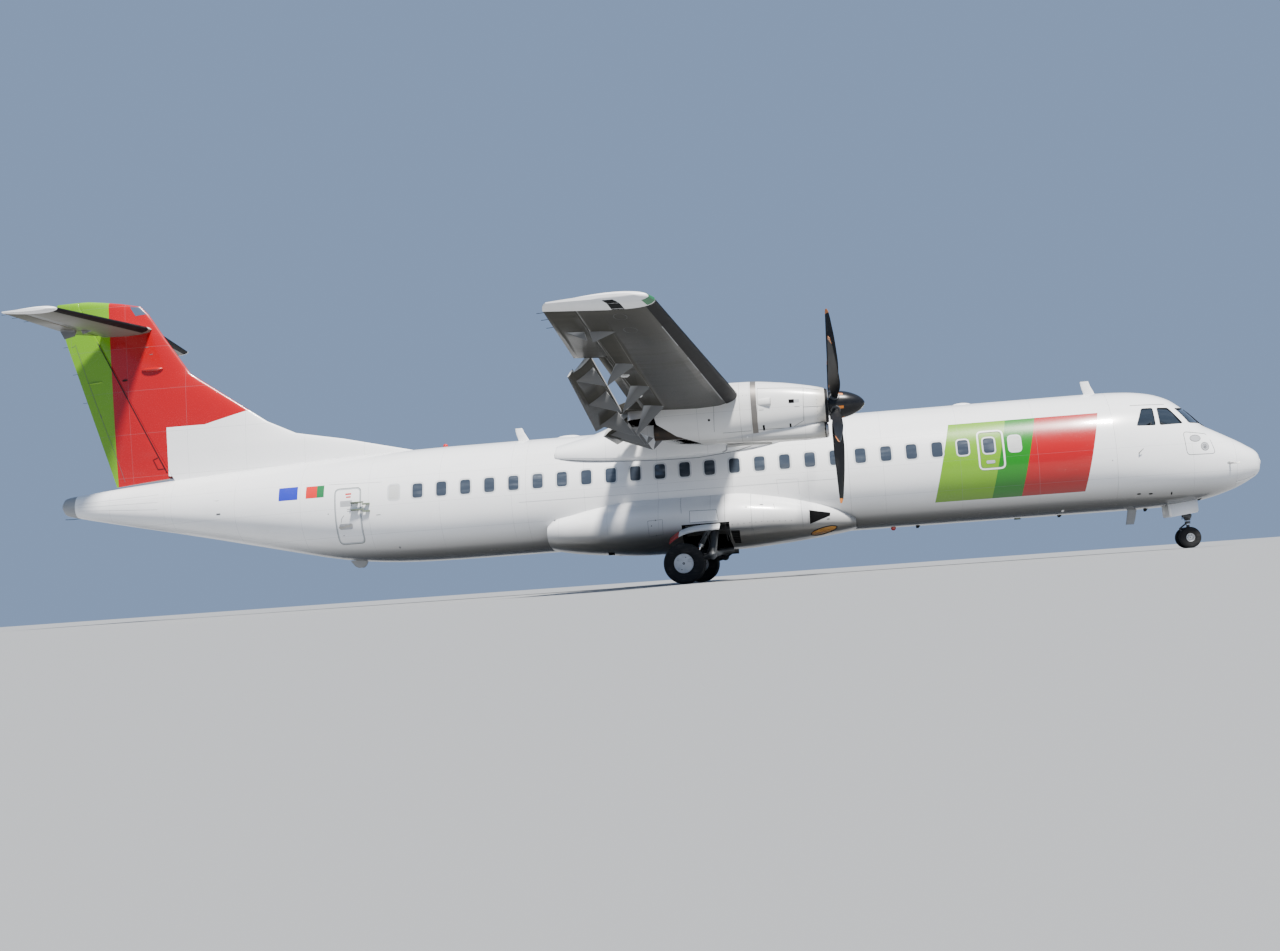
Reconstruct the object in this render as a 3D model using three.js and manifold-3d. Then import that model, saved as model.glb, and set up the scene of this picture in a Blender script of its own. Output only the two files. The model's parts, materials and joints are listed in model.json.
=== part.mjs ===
// A twin turboprop airliner standing on its wheels, flaps lowered.
// Millimetres, +X towards the nose, +Y to port, +Z up. The floor is z = 0 and the origin is under
// the middle of the aircraft. A station is a distance back from the nose tip.
import * as THREE from "three";
import { mergeVertices } from "three/addons/utils/BufferGeometryUtils.js";
import { ConvexGeometry } from "three/addons/geometries/ConvexGeometry.js";
import Module from "manifold-3d";

const wasm = await Module();
wasm.setup();

// Driving dimensions
const LENGTH = 27170;
const SPAN = 27050;
const HEIGHT = 7650;
const JOINT_GAP = 0.4; // between pieces that are fastened together
const MOVING_GAP = 18; // between pieces that move past each other

const BODY_HALF_WIDTH = 1432.5;
const BODY_AXIS_Z = 2070;
const BODY_TOP_Z = BODY_AXIS_Z + BODY_HALF_WIDTH;
const BELLY_Z = 917;
const WALL = 110;
const CABIN_FLOOR_Z = 1430;
const CARGO_BAY = [3360, 5200, 980, 3000]; // forward and aft stations, half width, roof z
const CABIN = [17000, 20900, 800, 3090];
const GLASS_THICKNESS = 26;
const GLASS_RECESS = 40; // the dark space behind each pane
const RING_POINTS = 32;
const SMALLEST_EDGE = 0.2; // what a cut leaves that is shorter is taken away

const WING_BREAK_Y = 4600; // the inner panel is straight, the outer one tapers
const WING_TIP_Y = SPAN / 2;
const NACELLE_Y = 4050;
const PROPELLER_Z = 3330;
const PROPELLER_RADIUS = 1965;
const BLADE_COUNT = 6;
const BLADE_PHASE = 3; // degrees from upright, leaning to port
const FLAP_SETTING = 35; // degrees, as on the approach to land

const MAIN_AXLE_STATION = 12390;
const WHEELBASE = 10770;
const MAIN_TRACK = 4100;
const MAIN_TYRE = { radius: 430, width: 250, bead: 205, pair: 430, axle: 48 };
const NOSE_TYRE = { radius: 228, width: 165, bead: 90, pair: 400, axle: 24 };
const NOSE_AXLE_STATION = MAIN_AXLE_STATION - WHEELBASE;

const x = (station) => LENGTH / 2 - station;
const radians = THREE.MathUtils.degToRad;
const SIDES = { left: 1, right: -1 };

// Materials
const paint = (color, roughness = 0.35, metalness = 0) => () =>
  new THREE.MeshStandardMaterial({ color, roughness, metalness });
const WHITE = paint(0xf2f3f4);
const GREY_PAINT = paint(0x9aa0a3, 0.5);
const RED = paint(0xe01f26);
const GREEN = paint(0x8cc417);
const BLACK = paint(0x17191d, 0.45);
const GLASS = paint(0x14202b, 0.08);
const TYRE = paint(0x1b1b1c, 0.85);
const RIM = paint(0xd9dadb, 0.4, 0.4);
const STEEL = paint(0x6f7478, 0.4, 0.8);
const BURNT = paint(0x2a2724, 0.7, 0.5);

// Solids
function solid(geometry) {
  geometry = geometry.index ? geometry.toNonIndexed() : geometry.clone();
  geometry.deleteAttribute("normal");
  geometry.deleteAttribute("uv");
  const merged = mergeVertices(geometry, 1e-3);
  return new wasm.Manifold(
    new wasm.Mesh({
      numProp: 3,
      vertProperties: merged.attributes.position.array,
      triVerts: new Uint32Array(merged.index.array),
    }),
  );
}

function geometryOf(made) {
  const mesh = made.getMesh();
  const geometry = new THREE.BufferGeometry();
  geometry.setAttribute("position", new THREE.BufferAttribute(new Float32Array(mesh.vertProperties), 3));
  geometry.setIndex(new THREE.BufferAttribute(new Uint32Array(mesh.triVerts), 1));
  geometry.computeVertexNormals();
  return geometry;
}

const join = (first, ...rest) => rest.reduce((made, next) => made.add(next), first);
const cut = (first, ...rest) => rest.reduce((made, next) => made.subtract(next), first);

// The largest separate body of a solid, so that no crumb of a cut is left.
function largest(made) {
  return made.decompose().sort((a, b) => b.volume() - a.volume())[0];
}

function mesh(name, made, material) {
  const piece = new THREE.Mesh(geometryOf(made.simplify(SMALLEST_EDGE)), material());
  piece.name = name;
  return piece;
}

// A closed skin through rings that hold the same number of points.
function loft(rings) {
  const count = rings[0].length;
  const points = rings.flat();
  const faces = [];
  for (let r = 0; r + 1 < rings.length; r++)
    for (let k = 0; k < count; k++) {
      const a = r * count + k;
      const b = r * count + ((k + 1) % count);
      faces.push(a, b, a + count, b, b + count, a + count);
    }
  for (const [ring, turn] of [[0, false], [rings.length - 1, true]]) {
    const centre = points.length;
    points.push(rings[ring].reduce((sum, p) => sum.add(p), new THREE.Vector3()).divideScalar(count));
    for (let k = 0; k < count; k++) {
      const a = ring * count + k;
      const b = ring * count + ((k + 1) % count);
      faces.push(...(turn ? [a, b, centre] : [b, a, centre]));
    }
  }
  const geometry = new THREE.BufferGeometry().setFromPoints(points).setIndex(faces);
  const position = geometry.getAttribute("position");
  let volume = 0;
  const [a, b, c] = [new THREE.Vector3(), new THREE.Vector3(), new THREE.Vector3()];
  for (let i = 0; i < faces.length; i += 3) {
    a.fromBufferAttribute(position, faces[i]);
    b.fromBufferAttribute(position, faces[i + 1]);
    c.fromBufferAttribute(position, faces[i + 2]);
    volume += a.dot(b.cross(c));
  }
  if (volume < 0) geometry.setIndex(faces.reverse());
  return solid(geometry);
}

// A box between two corners, each [station, y, z].
function block(low, high) {
  const size = high.map((v, i) => Math.abs(v - low[i]));
  const geometry = new THREE.BoxGeometry(...size);
  geometry.translate(x((low[0] + high[0]) / 2), (low[1] + high[1]) / 2, (low[2] + high[2]) / 2);
  return solid(geometry);
}

// A round bar or cone between two points, each [station, y, z].
function bar(from, to, radiusFrom, radiusTo = radiusFrom, sides = 12) {
  const start = new THREE.Vector3(x(from[0]), from[1], from[2]);
  const end = new THREE.Vector3(x(to[0]), to[1], to[2]);
  const run = new THREE.Vector3().subVectors(end, start);
  const geometry = new THREE.CylinderGeometry(radiusTo, radiusFrom, run.length(), sides);
  const turn = new THREE.Quaternion().setFromUnitVectors(new THREE.Vector3(0, 1, 0), run.normalize());
  geometry.applyQuaternion(turn);
  geometry.translate(...start.add(end).multiplyScalar(0.5).toArray());
  return solid(geometry);
}

// A convex wedge round points given as [station, y, z].
const wedge = (points) => solid(new ConvexGeometry(points.map(([s, y, z]) => new THREE.Vector3(x(s), y, z))));

// A flat outline of [station, z] points, rounded at its corners, pushed through along Y.
function sidePrism(outline, fromY, toY, cornerRadius = 0) {
  const shape = roundedShape(outline.map(([s, z]) => new THREE.Vector2(x(s), z)), cornerRadius);
  const depth = Math.abs(toY - fromY);
  const geometry = new THREE.ExtrudeGeometry(shape, { depth, bevelEnabled: false, curveSegments: 4 });
  geometry.rotateX(Math.PI / 2); // the outline stands up and the depth runs towards -Y
  geometry.translate(0, Math.max(fromY, toY), 0);
  return solid(geometry);
}

function roundedShape(corners, radius) {
  const shape = new THREE.Shape();
  corners.forEach((corner, i) => {
    const before = corners.at(i - 1);
    const after = corners[(i + 1) % corners.length];
    const enter = corner.clone().add(before.clone().sub(corner).setLength(radius));
    const leave = corner.clone().add(after.clone().sub(corner).setLength(radius));
    if (i) shape.lineTo(enter.x, enter.y);
    else shape.moveTo(enter.x, enter.y);
    if (radius) shape.quadraticCurveTo(corner.x, corner.y, leave.x, leave.y);
  });
  return shape;
}

// The outline of a rectangle from its corner stations and heights, drawn in by a margin.
const rectangle = (s0, s1, z0, z1, margin = 0) => [
  [s0 + margin, z0 + margin],
  [s1 - margin, z0 + margin],
  [s1 - margin, z1 - margin],
  [s0 + margin, z1 - margin],
];

// A ring across the X axis whose upper and lower halves are each a quarter-symmetric superellipse.
function hoop(section, { centreY = 0, points = RING_POINTS, upper = 2, lower = 2.2, inset = 0 }) {
  const { station, halfWidth, top, wide, bottom } = section;
  const power = (v, exponent) => Math.sign(v) * Math.abs(v) ** (2 / exponent);
  return Array.from({ length: points }, (_, k) => {
    const angle = (2 * Math.PI * k) / points;
    const exponent = Math.cos(angle) >= 0 ? upper : lower;
    const height = Math.cos(angle) >= 0 ? top - inset - wide : wide - bottom - inset;
    const y = (halfWidth - inset) * power(Math.sin(angle), exponent);
    return new THREE.Vector3(x(station), centreY + y, wide + height * power(Math.cos(angle), exponent));
  });
}

const sections = (table) =>
  table.map(([station, halfWidth, top, wide, bottom]) => ({ station, halfWidth, top, wide, bottom }));

// A section of the body at any station, between the two of the table that it lies between.
function sectionAt(table, station) {
  const after = table.findIndex((section) => section.station >= station);
  const [a, b] = [table[Math.max(after - 1, 0)], table[after]];
  const share = b.station > a.station ? (station - a.station) / (b.station - a.station) : 0;
  const made = { station };
  for (const key of ["halfWidth", "top", "wide", "bottom"]) made[key] = a[key] + share * (b[key] - a[key]);
  return made;
}

// The stretch of a body between two stations.
function stretch(table, from, to, options = {}) {
  const between = table.filter(({ station }) => station > from && station < to);
  const rows = [sectionAt(table, from), ...between, sectionAt(table, to)];
  return loft(rows.map((section) => hoop(section, options)));
}

// Columns: station, half width, top z, z of the widest point, bottom z
const BODY = sections([
  [0, 85, 1835, 1750, 1668],
  [35, 205, 1945, 1742, 1540],
  [110, 315, 2022, 1742, 1460],
  [220, 415, 2096, 1748, 1395],
  [420, 572, 2222, 1764, 1290],
  [680, 722, 2368, 1786, 1185],
  [1180, 930, 2640, 1832, 1045],
  [1540, 1050, 3025, 1878, 985],
  [1880, 1148, 3276, 1925, 948],
  [2250, 1238, 3405, 1975, 927],
  [2700, 1325, 3474, 2020, 918],
  [3250, 1398, 3500, 2058, BELLY_Z],
  [3900, BODY_HALF_WIDTH, BODY_TOP_Z, BODY_AXIS_Z, BELLY_Z],
  [17600, BODY_HALF_WIDTH, BODY_TOP_Z, BODY_AXIS_Z, BELLY_Z],
  [18600, 1418, 3492, 2080, 932],
  [19500, 1370, 3470, 2112, 985],
  [20400, 1290, 3442, 2165, 1102],
  [21400, 1165, 3402, 2245, 1318],
  [22600, 985, 3338, 2355, 1595],
  [23600, 815, 3282, 2445, 1825],
  [24450, 668, 3236, 2522, 2012],
  [25400, 495, 3170, 2612, 2216],
  [26200, 345, 3104, 2688, 2392],
  [26800, 240, 3048, 2758, 2532],
  [27090, 190, 3002, 2797, 2612],
  [LENGTH, 95, 2912, 2815, 2718],
]);
const BODY_JOINTS = { radome: 620, nose: 3200, forward: 9000, centre: 15600, rear: 24450 };
const BULKHEAD = 21300; // the station of the rear pressure bulkhead

const bodyBetween = (from, to, inset = 0) => stretch(BODY, from, to, { inset });

// The whole outside of the body, a little large, that every piece fastened to it is cut by.
const bodyCutter = bodyBetween(0, LENGTH, -JOINT_GAP);

// Doors. Columns: name, side, forward station, aft station, sill z, head z, corner radius
const DOORS = {};
for (const [name, side, forward, aft, sill, head, corner] of [
  ["cargo_door", SIDES.left, 3400, 4675, CABIN_FLOOR_Z, 3005, 120],
  ["passenger_door", SIDES.left, 19380, 20200, CABIN_FLOOR_Z, 3180, 130],
  ["service_door", SIDES.right, 19570, 20200, CABIN_FLOOR_Z - 30, 2660, 120],
])
  DOORS[name] = { side, forward, aft, sill, head, corner };
const DOOR_GAP = 8;

function doorPrism({ side, forward, aft, sill, head, corner }, margin) {
  return sidePrism(rectangle(forward, aft, sill, head, margin), side * 500, side * 1600, corner);
}

function doorPanel(door) {
  const outside = bodyBetween(door.forward - 200, door.aft + 200);
  const inside = bodyBetween(door.forward - 300, door.aft + 300, WALL);
  return cut(outside, inside).intersect(doorPrism(door, DOOR_GAP));
}

// A pin on each side of a door's hinge line, and the plate that carries it, between two stations.
function knuckle(from, to, [y, z], plate) {
  const [[y0, z0], [y1, z1]] = plate;
  return join(bar([from, y, z], [to, y, z], 16, 16, 8), block([from, y0, z0], [to, y1, z1]));
}

// Passenger door: five steps are fixed to its inside, and it swings down about its sill.
const PASSENGER_HINGE = [1150, 1418]; // y, z
const PASSENGER_KNUCKLES = [19500, 20020];
// Each step's middle is at this y; the top one stands further in, where the body narrows
const STEPS = { first: 250, rise: 290, middles: [1090, 1090, 1090, 1090, 920], tread: 300, thickness: 35 };
function passengerDoor() {
  const door = DOORS.passenger_door;
  const [y, z] = PASSENGER_HINGE;
  const within = bodyBetween(door.forward - 100, door.aft + 100, WALL / 2);
  const steps = STEPS.middles.map((middle, n) => {
    const height = door.sill + STEPS.first + n * STEPS.rise;
    const low = [door.forward + WALL, middle - STEPS.tread / 2, height];
    const high = [door.aft - WALL, middle + STEPS.tread / 2, height + STEPS.thickness];
    return block(low, high).intersect(within);
  });
  const knuckles = PASSENGER_KNUCKLES.flatMap((s) => [
    knuckle(s, s + 60, PASSENGER_HINGE, [[y - 14, z], [y + 14, z + 72]]),
    block([s, y - 90, z + 24], [s + 60, y + 4, z + 72]),
  ]);
  return join(doorPanel(door), ...steps, ...knuckles);
}
const passengerFixings = PASSENGER_KNUCKLES.map((s) => {
  const [y, z] = PASSENGER_HINGE;
  return knuckle(s + 80, s + 110, PASSENGER_HINGE, [[y - 120, z - 14], [y, z + 10]]);
});

// Cargo door: it swings up about its head.
const CARGO_HINGE = [1120, 3014]; // y, z
const CARGO_KNUCKLES = [3560, 4040, 4460];
function cargoDoor() {
  const [y, z] = CARGO_HINGE;
  const knuckles = CARGO_KNUCKLES.map((s) => knuckle(s, s + 50, CARGO_HINGE, [[y - 30, z - 70], [y + 6, z]]));
  return join(doorPanel(DOORS.cargo_door), ...knuckles);
}
const cargoFixings = CARGO_KNUCKLES.map((s) => {
  const [y, z] = CARGO_HINGE;
  return knuckle(s + 60, s + 90, CARGO_HINGE, [[y - 130, z - 4], [y + 6, z + 14]]);
});

// Service door: two short arms reach forward to a pin line outside the skin.
const SERVICE_HINGE = { station: 19515, y: -1430, heights: [2130, 2290] };
function serviceDoor() {
  const { station, y, heights } = SERVICE_HINGE;
  const door = DOORS.service_door;
  const arms = heights.map((z) =>
    join(
      bar([station, y, z], [station, y, z + 34], 20, 20, 8),
      block([station, y - 14, z], [station + 275, y + 12, z + 34]),
      block([station + 115, y, z], [station + 275, -1300, z + 34]),
    ),
  );
  // The edge away from the pins is rounded about them, so that it swings clear of the doorway
  const radius = Math.hypot(door.aft - 5 - station, y + 1365);
  const swing = bar([station, y, 1000], [station, y, 3000], radius, radius, 120);
  return join(doorPanel(door).intersect(swing), ...arms);
}
const serviceFixings = SERVICE_HINGE.heights.map((z) => {
  const { station, y } = SERVICE_HINGE;
  return join(
    bar([station, y, z - 46], [station, y, z - 8], 20, 20, 8),
    block([station - 150, y - 14, z - 46], [station, y + 14, z - 8]),
    block([station - 150, y, z - 46], [station - 60, -1330, z - 8]),
  );
});

// Cockpit glass. Side panes are outlines seen from the side, the windscreen one seen from the front.
const COCKPIT_PANES = {
  side_window: [[2215, 2635], [2205, 3032], [1950, 3022], [1690, 2650]],
  rear_window: [[2715, 2650], [2540, 3035], [2290, 3035], [2300, 2635]],
};
const WINDSCREEN = [[45, 2645], [45, 3035], [640, 3010], [790, 2655]]; // y, z
const PANE_GAP = 3;

function sidePane(outline, side, margin) {
  const middle = outline.reduce((sum, p) => [sum[0] + p[0] / 4, sum[1] + p[1] / 4], [0, 0]);
  const drawnIn = outline.map((p) => p.map((v, i) => v - Math.sign(v - middle[i]) * margin));
  return sidePrism(drawnIn, side * 300, side * 1500, 45);
}

function windscreenPane(side, margin) {
  const drawnIn = WINDSCREEN.map(([y, z]) => {
    const inwards = y < 300 ? margin : -margin;
    return new THREE.Vector2(side * (y + inwards), z < 2800 ? z + margin : z - margin);
  });
  const shape = roundedShape(side > 0 ? drawnIn : drawnIn.reverse(), 35);
  const geometry = new THREE.ExtrudeGeometry(shape, { depth: 1000, bevelEnabled: false, curveSegments: 4 });
  geometry.rotateX(Math.PI / 2);
  geometry.rotateZ(Math.PI / 2); // the outline now stands across the nose and the depth runs along X
  geometry.translate(x(2050), 0, 0);
  return solid(geometry);
}

const paneOpenings = Object.values(SIDES).flatMap((side) => [
  windscreenPane(side, 0),
  ...Object.values(COCKPIT_PANES).map((outline) => sidePane(outline, side, 0)),
]);

function cockpitGlass() {
  const skin = cut(bodyBetween(1000, 3000), bodyBetween(900, 3100, GLASS_THICKNESS));
  const meshes = [];
  for (const [name, side] of Object.entries(SIDES)) {
    meshes.push(mesh("windscreen_" + name, largest(skin.intersect(windscreenPane(side, PANE_GAP))), GLASS));
    for (const [pane, outline] of Object.entries(COCKPIT_PANES)) {
      const made = largest(skin.intersect(sidePane(outline, side, PANE_GAP)));
      meshes.push(mesh("cockpit_" + pane + "_" + name, made, GLASS));
    }
  }
  return meshes;
}

// Nose leg bay, open below.
const NOSE_BAY = { forward: 1330, aft: 2110, halfWidth: 352, roof: 1340 };
const noseBay = block(
  [NOSE_BAY.forward, -NOSE_BAY.halfWidth, 0],
  [NOSE_BAY.aft, NOSE_BAY.halfWidth, NOSE_BAY.roof],
);

// A flat round pad under the body that a jack lifts on.
const JACK_PAD = { radius: 70, thickness: 30, reach: 200 };
const jackPad = (station, y, z) =>
  bar([station, y, z], [station, y, z + JACK_PAD.reach], JACK_PAD.radius, JACK_PAD.radius, 16);
const FORWARD_JACK = { station: 5200, z: BELLY_Z - JACK_PAD.thickness };

function fuselage() {
  const joints = BODY_JOINTS;
  const half = JOINT_GAP / 2;
  const room = ([front, back, halfWidth, roof]) =>
    block([front, -halfWidth, CABIN_FLOOR_Z], [back, halfWidth, roof]);
  // Behind the pressure bulkhead the tail is a shell, which the tail cone closes
  const tailRoom = stretch(BODY, BULKHEAD, joints.rear + 10, { inset: WALL, points: 16 });
  const cockpit = bodyBetween(1000, 3000, GLASS_THICKNESS + GLASS_RECESS);
  const glassRecess = cut(join(...paneOpenings), cockpit);
  const nose = cut(bodyBetween(joints.radome + half, joints.nose - half), noseBay, glassRecess);
  const forward = join(
    cut(
      bodyBetween(joints.nose + half, joints.forward - half),
      room(CARGO_BAY),
      doorPrism(DOORS.cargo_door, 0),
    ),
    jackPad(FORWARD_JACK.station, 0, FORWARD_JACK.z),
    ...cargoFixings,
  );
  const centre = cut(bodyBetween(joints.forward + half, joints.centre - half), wingCutter);
  const [hingeY, hingeZ] = PASSENGER_HINGE;
  const hingeSlots = PASSENGER_KNUCKLES.map((s) =>
    block([s - 15, hingeY - 120, hingeZ - 30], [s + 75, hingeY + 60, hingeZ + 40]),
  );
  const rear = join(
    cut(
      bodyBetween(joints.centre + half, joints.rear - half),
      room(CABIN),
      tailRoom,
      doorPrism(DOORS.passenger_door, 0),
      doorPrism(DOORS.service_door, 0),
      ...hingeSlots,
    ),
    ...passengerFixings,
    ...serviceFixings,
  );
  return [
    mesh("radome", bodyBetween(0, joints.radome - half), WHITE),
    mesh("nose_fuselage", largest(nose), WHITE),
    mesh("forward_fuselage", largest(forward), WHITE),
    mesh("centre_fuselage", largest(centre), WHITE),
    mesh("rear_fuselage", largest(rear), WHITE),
    mesh("tail_cone", bodyBetween(joints.rear + half, LENGTH), WHITE),
  ];
}

// Wing sections lie in planes across Y (or across Z, for the fin). Chord fractions run from the leading edge.
function thickness(fraction) {
  const f = fraction;
  return 5 * (0.2969 * Math.sqrt(f) - 0.126 * f - 0.3516 * f ** 2 + 0.2843 * f ** 3 - 0.1036 * f ** 4);
}

// Chord fractions that crowd together towards both edges of a section.
const FOIL_STEPS = 8;
const foilFractions = Array.from(
  { length: FOIL_STEPS + 1 },
  (_, k) => (1 - Math.cos((Math.PI * k) / FOIL_STEPS)) / 2,
);
const TRAILING_EDGE = 7; // thickness of the trailing edge

// Points of a wing section as [distance back, height], from the trailing edge over the top to the underside.
function foil(chord, ratio, camber) {
  const half = (f) => chord * ratio * thickness(f) + (TRAILING_EDGE / 2) * f;
  const arch = (f) => chord * camber * 4 * f * (1 - f);
  const upper = foilFractions.map((f) => [f * chord, arch(f) + half(f)]);
  const lower = foilFractions.slice(1).map((f) => [f * chord, arch(f) - half(f)]);
  return [...upper.reverse(), ...lower];
}

// A wing through a table of sections, each { y, station, chord, ratio, z, twist, camber }.
function wingLoft(table) {
  return loft(
    table.map(({ y, station, chord, ratio, z, twist = 0, camber = 0 }) =>
      foil(chord, ratio, camber).map(([back, up]) => {
        const drop = back * Math.tan(radians(twist));
        return new THREE.Vector3(x(station + back), y, z + up - drop);
      }),
    ),
  );
}

// Columns: y, leading edge station, chord, thickness ratio, leading edge z, twist in degrees, camber
const WING = [
  [0, 10900, 2570, 0.18, 3640, 2, 0.025],
  [WING_BREAK_Y, 10900, 2570, 0.18, 3640, 2, 0.025],
  [WING_TIP_Y - 160, 11520, 1625, 0.135, 4110, 0.5, 0.02],
  [WING_TIP_Y - 45, 11600, 1520, 0.1, 4150, 0.5, 0.015],
  [WING_TIP_Y, 11780, 1290, 0.045, 4175, 0.5, 0.01],
].map(([y, station, chord, ratio, z, twist, camber]) => ({ y, station, chord, ratio, z, twist, camber }));

// The wing section at any distance out, on one side.
function wingAt(y) {
  const after = WING.findIndex((section) => section.y >= Math.abs(y));
  const [a, b] = [WING[Math.max(after - 1, 0)], WING[after]];
  const share = b.y > a.y ? (Math.abs(y) - a.y) / (b.y - a.y) : 0;
  const made = { y };
  for (const key of ["station", "chord", "ratio", "z", "twist", "camber"])
    made[key] = a[key] + share * (b[key] - a[key]);
  return made;
}

// A place in the wing: chord fraction, and height above the chord line.
function wingPoint(y, fraction, above = 0) {
  const section = wingAt(y);
  const back = section.chord * fraction;
  return [section.station + back, y, section.z - back * Math.tan(radians(section.twist)) + above];
}

// The wing's half thickness at a chord fraction.
function wingHalf(y, fraction) {
  const { chord, ratio } = wingAt(y);
  return chord * ratio * thickness(fraction);
}

const mirrored = (table, side) => table.map((section) => ({ ...section, y: side * section.y }));

const wingWhole = {
  centre: wingLoft([{ ...wingAt(0), y: -WING_BREAK_Y }, { ...wingAt(0), y: WING_BREAK_Y }]),
};
for (const [name, side] of Object.entries(SIDES))
  wingWhole[name] = wingLoft(mirrored([{ ...WING[1], y: WING_BREAK_Y + JOINT_GAP }, ...WING.slice(2)], side));

// The middle of the wing, a little large, that what carries it is cut by.
const wingCutter = wingLoft(
  [-1, 1].map((side) => {
    const root = wingAt(0);
    const [station, chord, ratio] = [root.station - 2, root.chord + 4, root.ratio + 0.001];
    return { ...root, y: side * (WING_BREAK_Y + 50), station, chord, ratio };
  }),
);

// Flaps hang on brackets under the wing and turn about a line below it.
// Columns: inner y, outer y, y of each bracket
const FLAPS = { inboard: [1450, 3640, [1980, 3300]], outboard: [4625, 9850, [5000, 7150, 9250]] };
const FLAP_END_GAP = 32; // the pin line is not square to the ends, which move a little sideways
const FLAP_FRACTION = 0.74; // where the flap's nose starts
const FLAP_HINGE = { fraction: 0.785, belowInner: 650, belowOuter: 360, outerY: 9900 };

// The pin line runs level under the inner panel and rises towards the wing under the outer one.
function hingeLine(y) {
  const { fraction, belowInner, belowOuter, outerY } = FLAP_HINGE;
  const share = Math.max(0, (y - WING_BREAK_Y) / (outerY - WING_BREAK_Y));
  return wingPoint(y, fraction, -belowInner - share * (belowOuter - belowInner));
}

// The wing behind a chord fraction, between two distances out.
function behind(inner, outer, fraction, side) {
  const corner = (y, above) => wingPoint(y, fraction, above).map((v, i) => (i === 1 ? side * v : v));
  const rear = (y, above) => [16000, side * y, wingPoint(y, fraction, above)[2]];
  const edges = [inner, outer].flatMap((y) => [[y, -400], [y, 400]]);
  return wedge(edges.flatMap(([y, above]) => [corner(y, above), rear(y, above)]));
}

// The wing's upper skin goes on over each flap's nose, as a thin shroud.
const SHROUD = { end: 0.83, thickness: 16, clearance: 24 };
function shroud(whole, inner, outer, side, grow = 0) {
  const above = whole.translate([0, 0, grow]).subtract(whole.translate([0, 0, -SHROUD.thickness - grow]));
  const front = behind(inner + 1 - grow, outer - 1 + grow, FLAP_FRACTION - 0.01, side);
  return above.intersect(front).subtract(behind(inner - 500, outer + 500, SHROUD.end + grow / 250, side));
}

// A flap in its raised place: a small round-nosed wing of its own behind the cut.
function flapBody(inner, outer, side) {
  return loft(
    [inner, outer].map((y) => {
      const { chord, station, z, twist } = wingAt(y);
      const length = chord * (1 - FLAP_FRACTION);
      const nose = wingPoint(y, FLAP_FRACTION, -0.12 * wingHalf(y, FLAP_FRACTION) + 0.01 * chord);
      return foil(length, 1.55 * (wingHalf(y, FLAP_FRACTION) / length), 0.02).map(([back, up]) => {
        const end = z - chord * Math.tan(radians(twist));
        const line = nose[2] + (end - nose[2]) * (back / length);
        return new THREE.Vector3(x(station + chord * FLAP_FRACTION + back), side * y, line + up);
      });
    }),
  );
}

// The two halves of a flap bracket's fairing: one fixed under the wing, one carried by the flap.
const BRACKET = { halfWidth: 105, keel: 14, front: 0.55, gap: 9 };
function bracketHalves(y, side) {
  const [hingeStation, , hingeZ] = hingeLine(y);
  const half = wingHalf(y, 0.6);
  const front = wingPoint(y, BRACKET.front, -0.55 * half);
  const rear = wingPoint(y, FLAP_FRACTION + 0.22, 10);
  const fixed = [
    [front[0], 0, front[2] - 60],
    [front[0] + 40, 0, front[2] + 40],
    ...[-1, 1].flatMap((edge) => [
      [hingeStation - 420, edge * BRACKET.halfWidth, wingPoint(y, 0.6, 0)[2]],
      [hingeStation - 250, edge * BRACKET.halfWidth, wingPoint(y, 0.6, 0)[2]],
      [hingeStation - BRACKET.gap - 20, edge * BRACKET.keel, hingeZ - 16],
      [hingeStation - BRACKET.gap - 40, edge * BRACKET.keel * 2, hingeZ + 60],
    ]),
  ];
  const moving = [
    [rear[0], 0, rear[2]],
    [rear[0], 0, rear[2] - 12],
    ...[-1, 1].flatMap((edge) => [
      [hingeStation - 20, edge * BRACKET.halfWidth, wingPoint(y, FLAP_FRACTION, -20)[2]],
      [hingeStation + 120, edge * BRACKET.halfWidth, wingPoint(y, FLAP_FRACTION, 0)[2]],
      [hingeStation + 6, edge * BRACKET.keel, hingeZ - 14],
    ]),
  ];
  const place = (points) => wedge(points.map(([s, dy, z]) => [s, side * y + dy, z]));
  return { fixed: place(fixed), moving: place(moving) };
}

// Ailerons turn about a line inside the wing.
const AILERON = { inner: 9900, outer: 13290, fraction: 0.74 };

// A control surface's round nose along its hinge line, from a to b.
const nose = (a, radiusA, b, radiusB, grow) => bar(a, b, radiusA + grow, radiusB + grow, 16);

function aileronHinge(y) {
  const radius = wingHalf(y, AILERON.fraction) * 1.05 + 3;
  const { chord, camber } = wingAt(y);
  const arch = chord * camber * 4 * AILERON.fraction * (1 - AILERON.fraction);
  return { at: wingPoint(y, AILERON.fraction, arch), radius };
}

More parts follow.
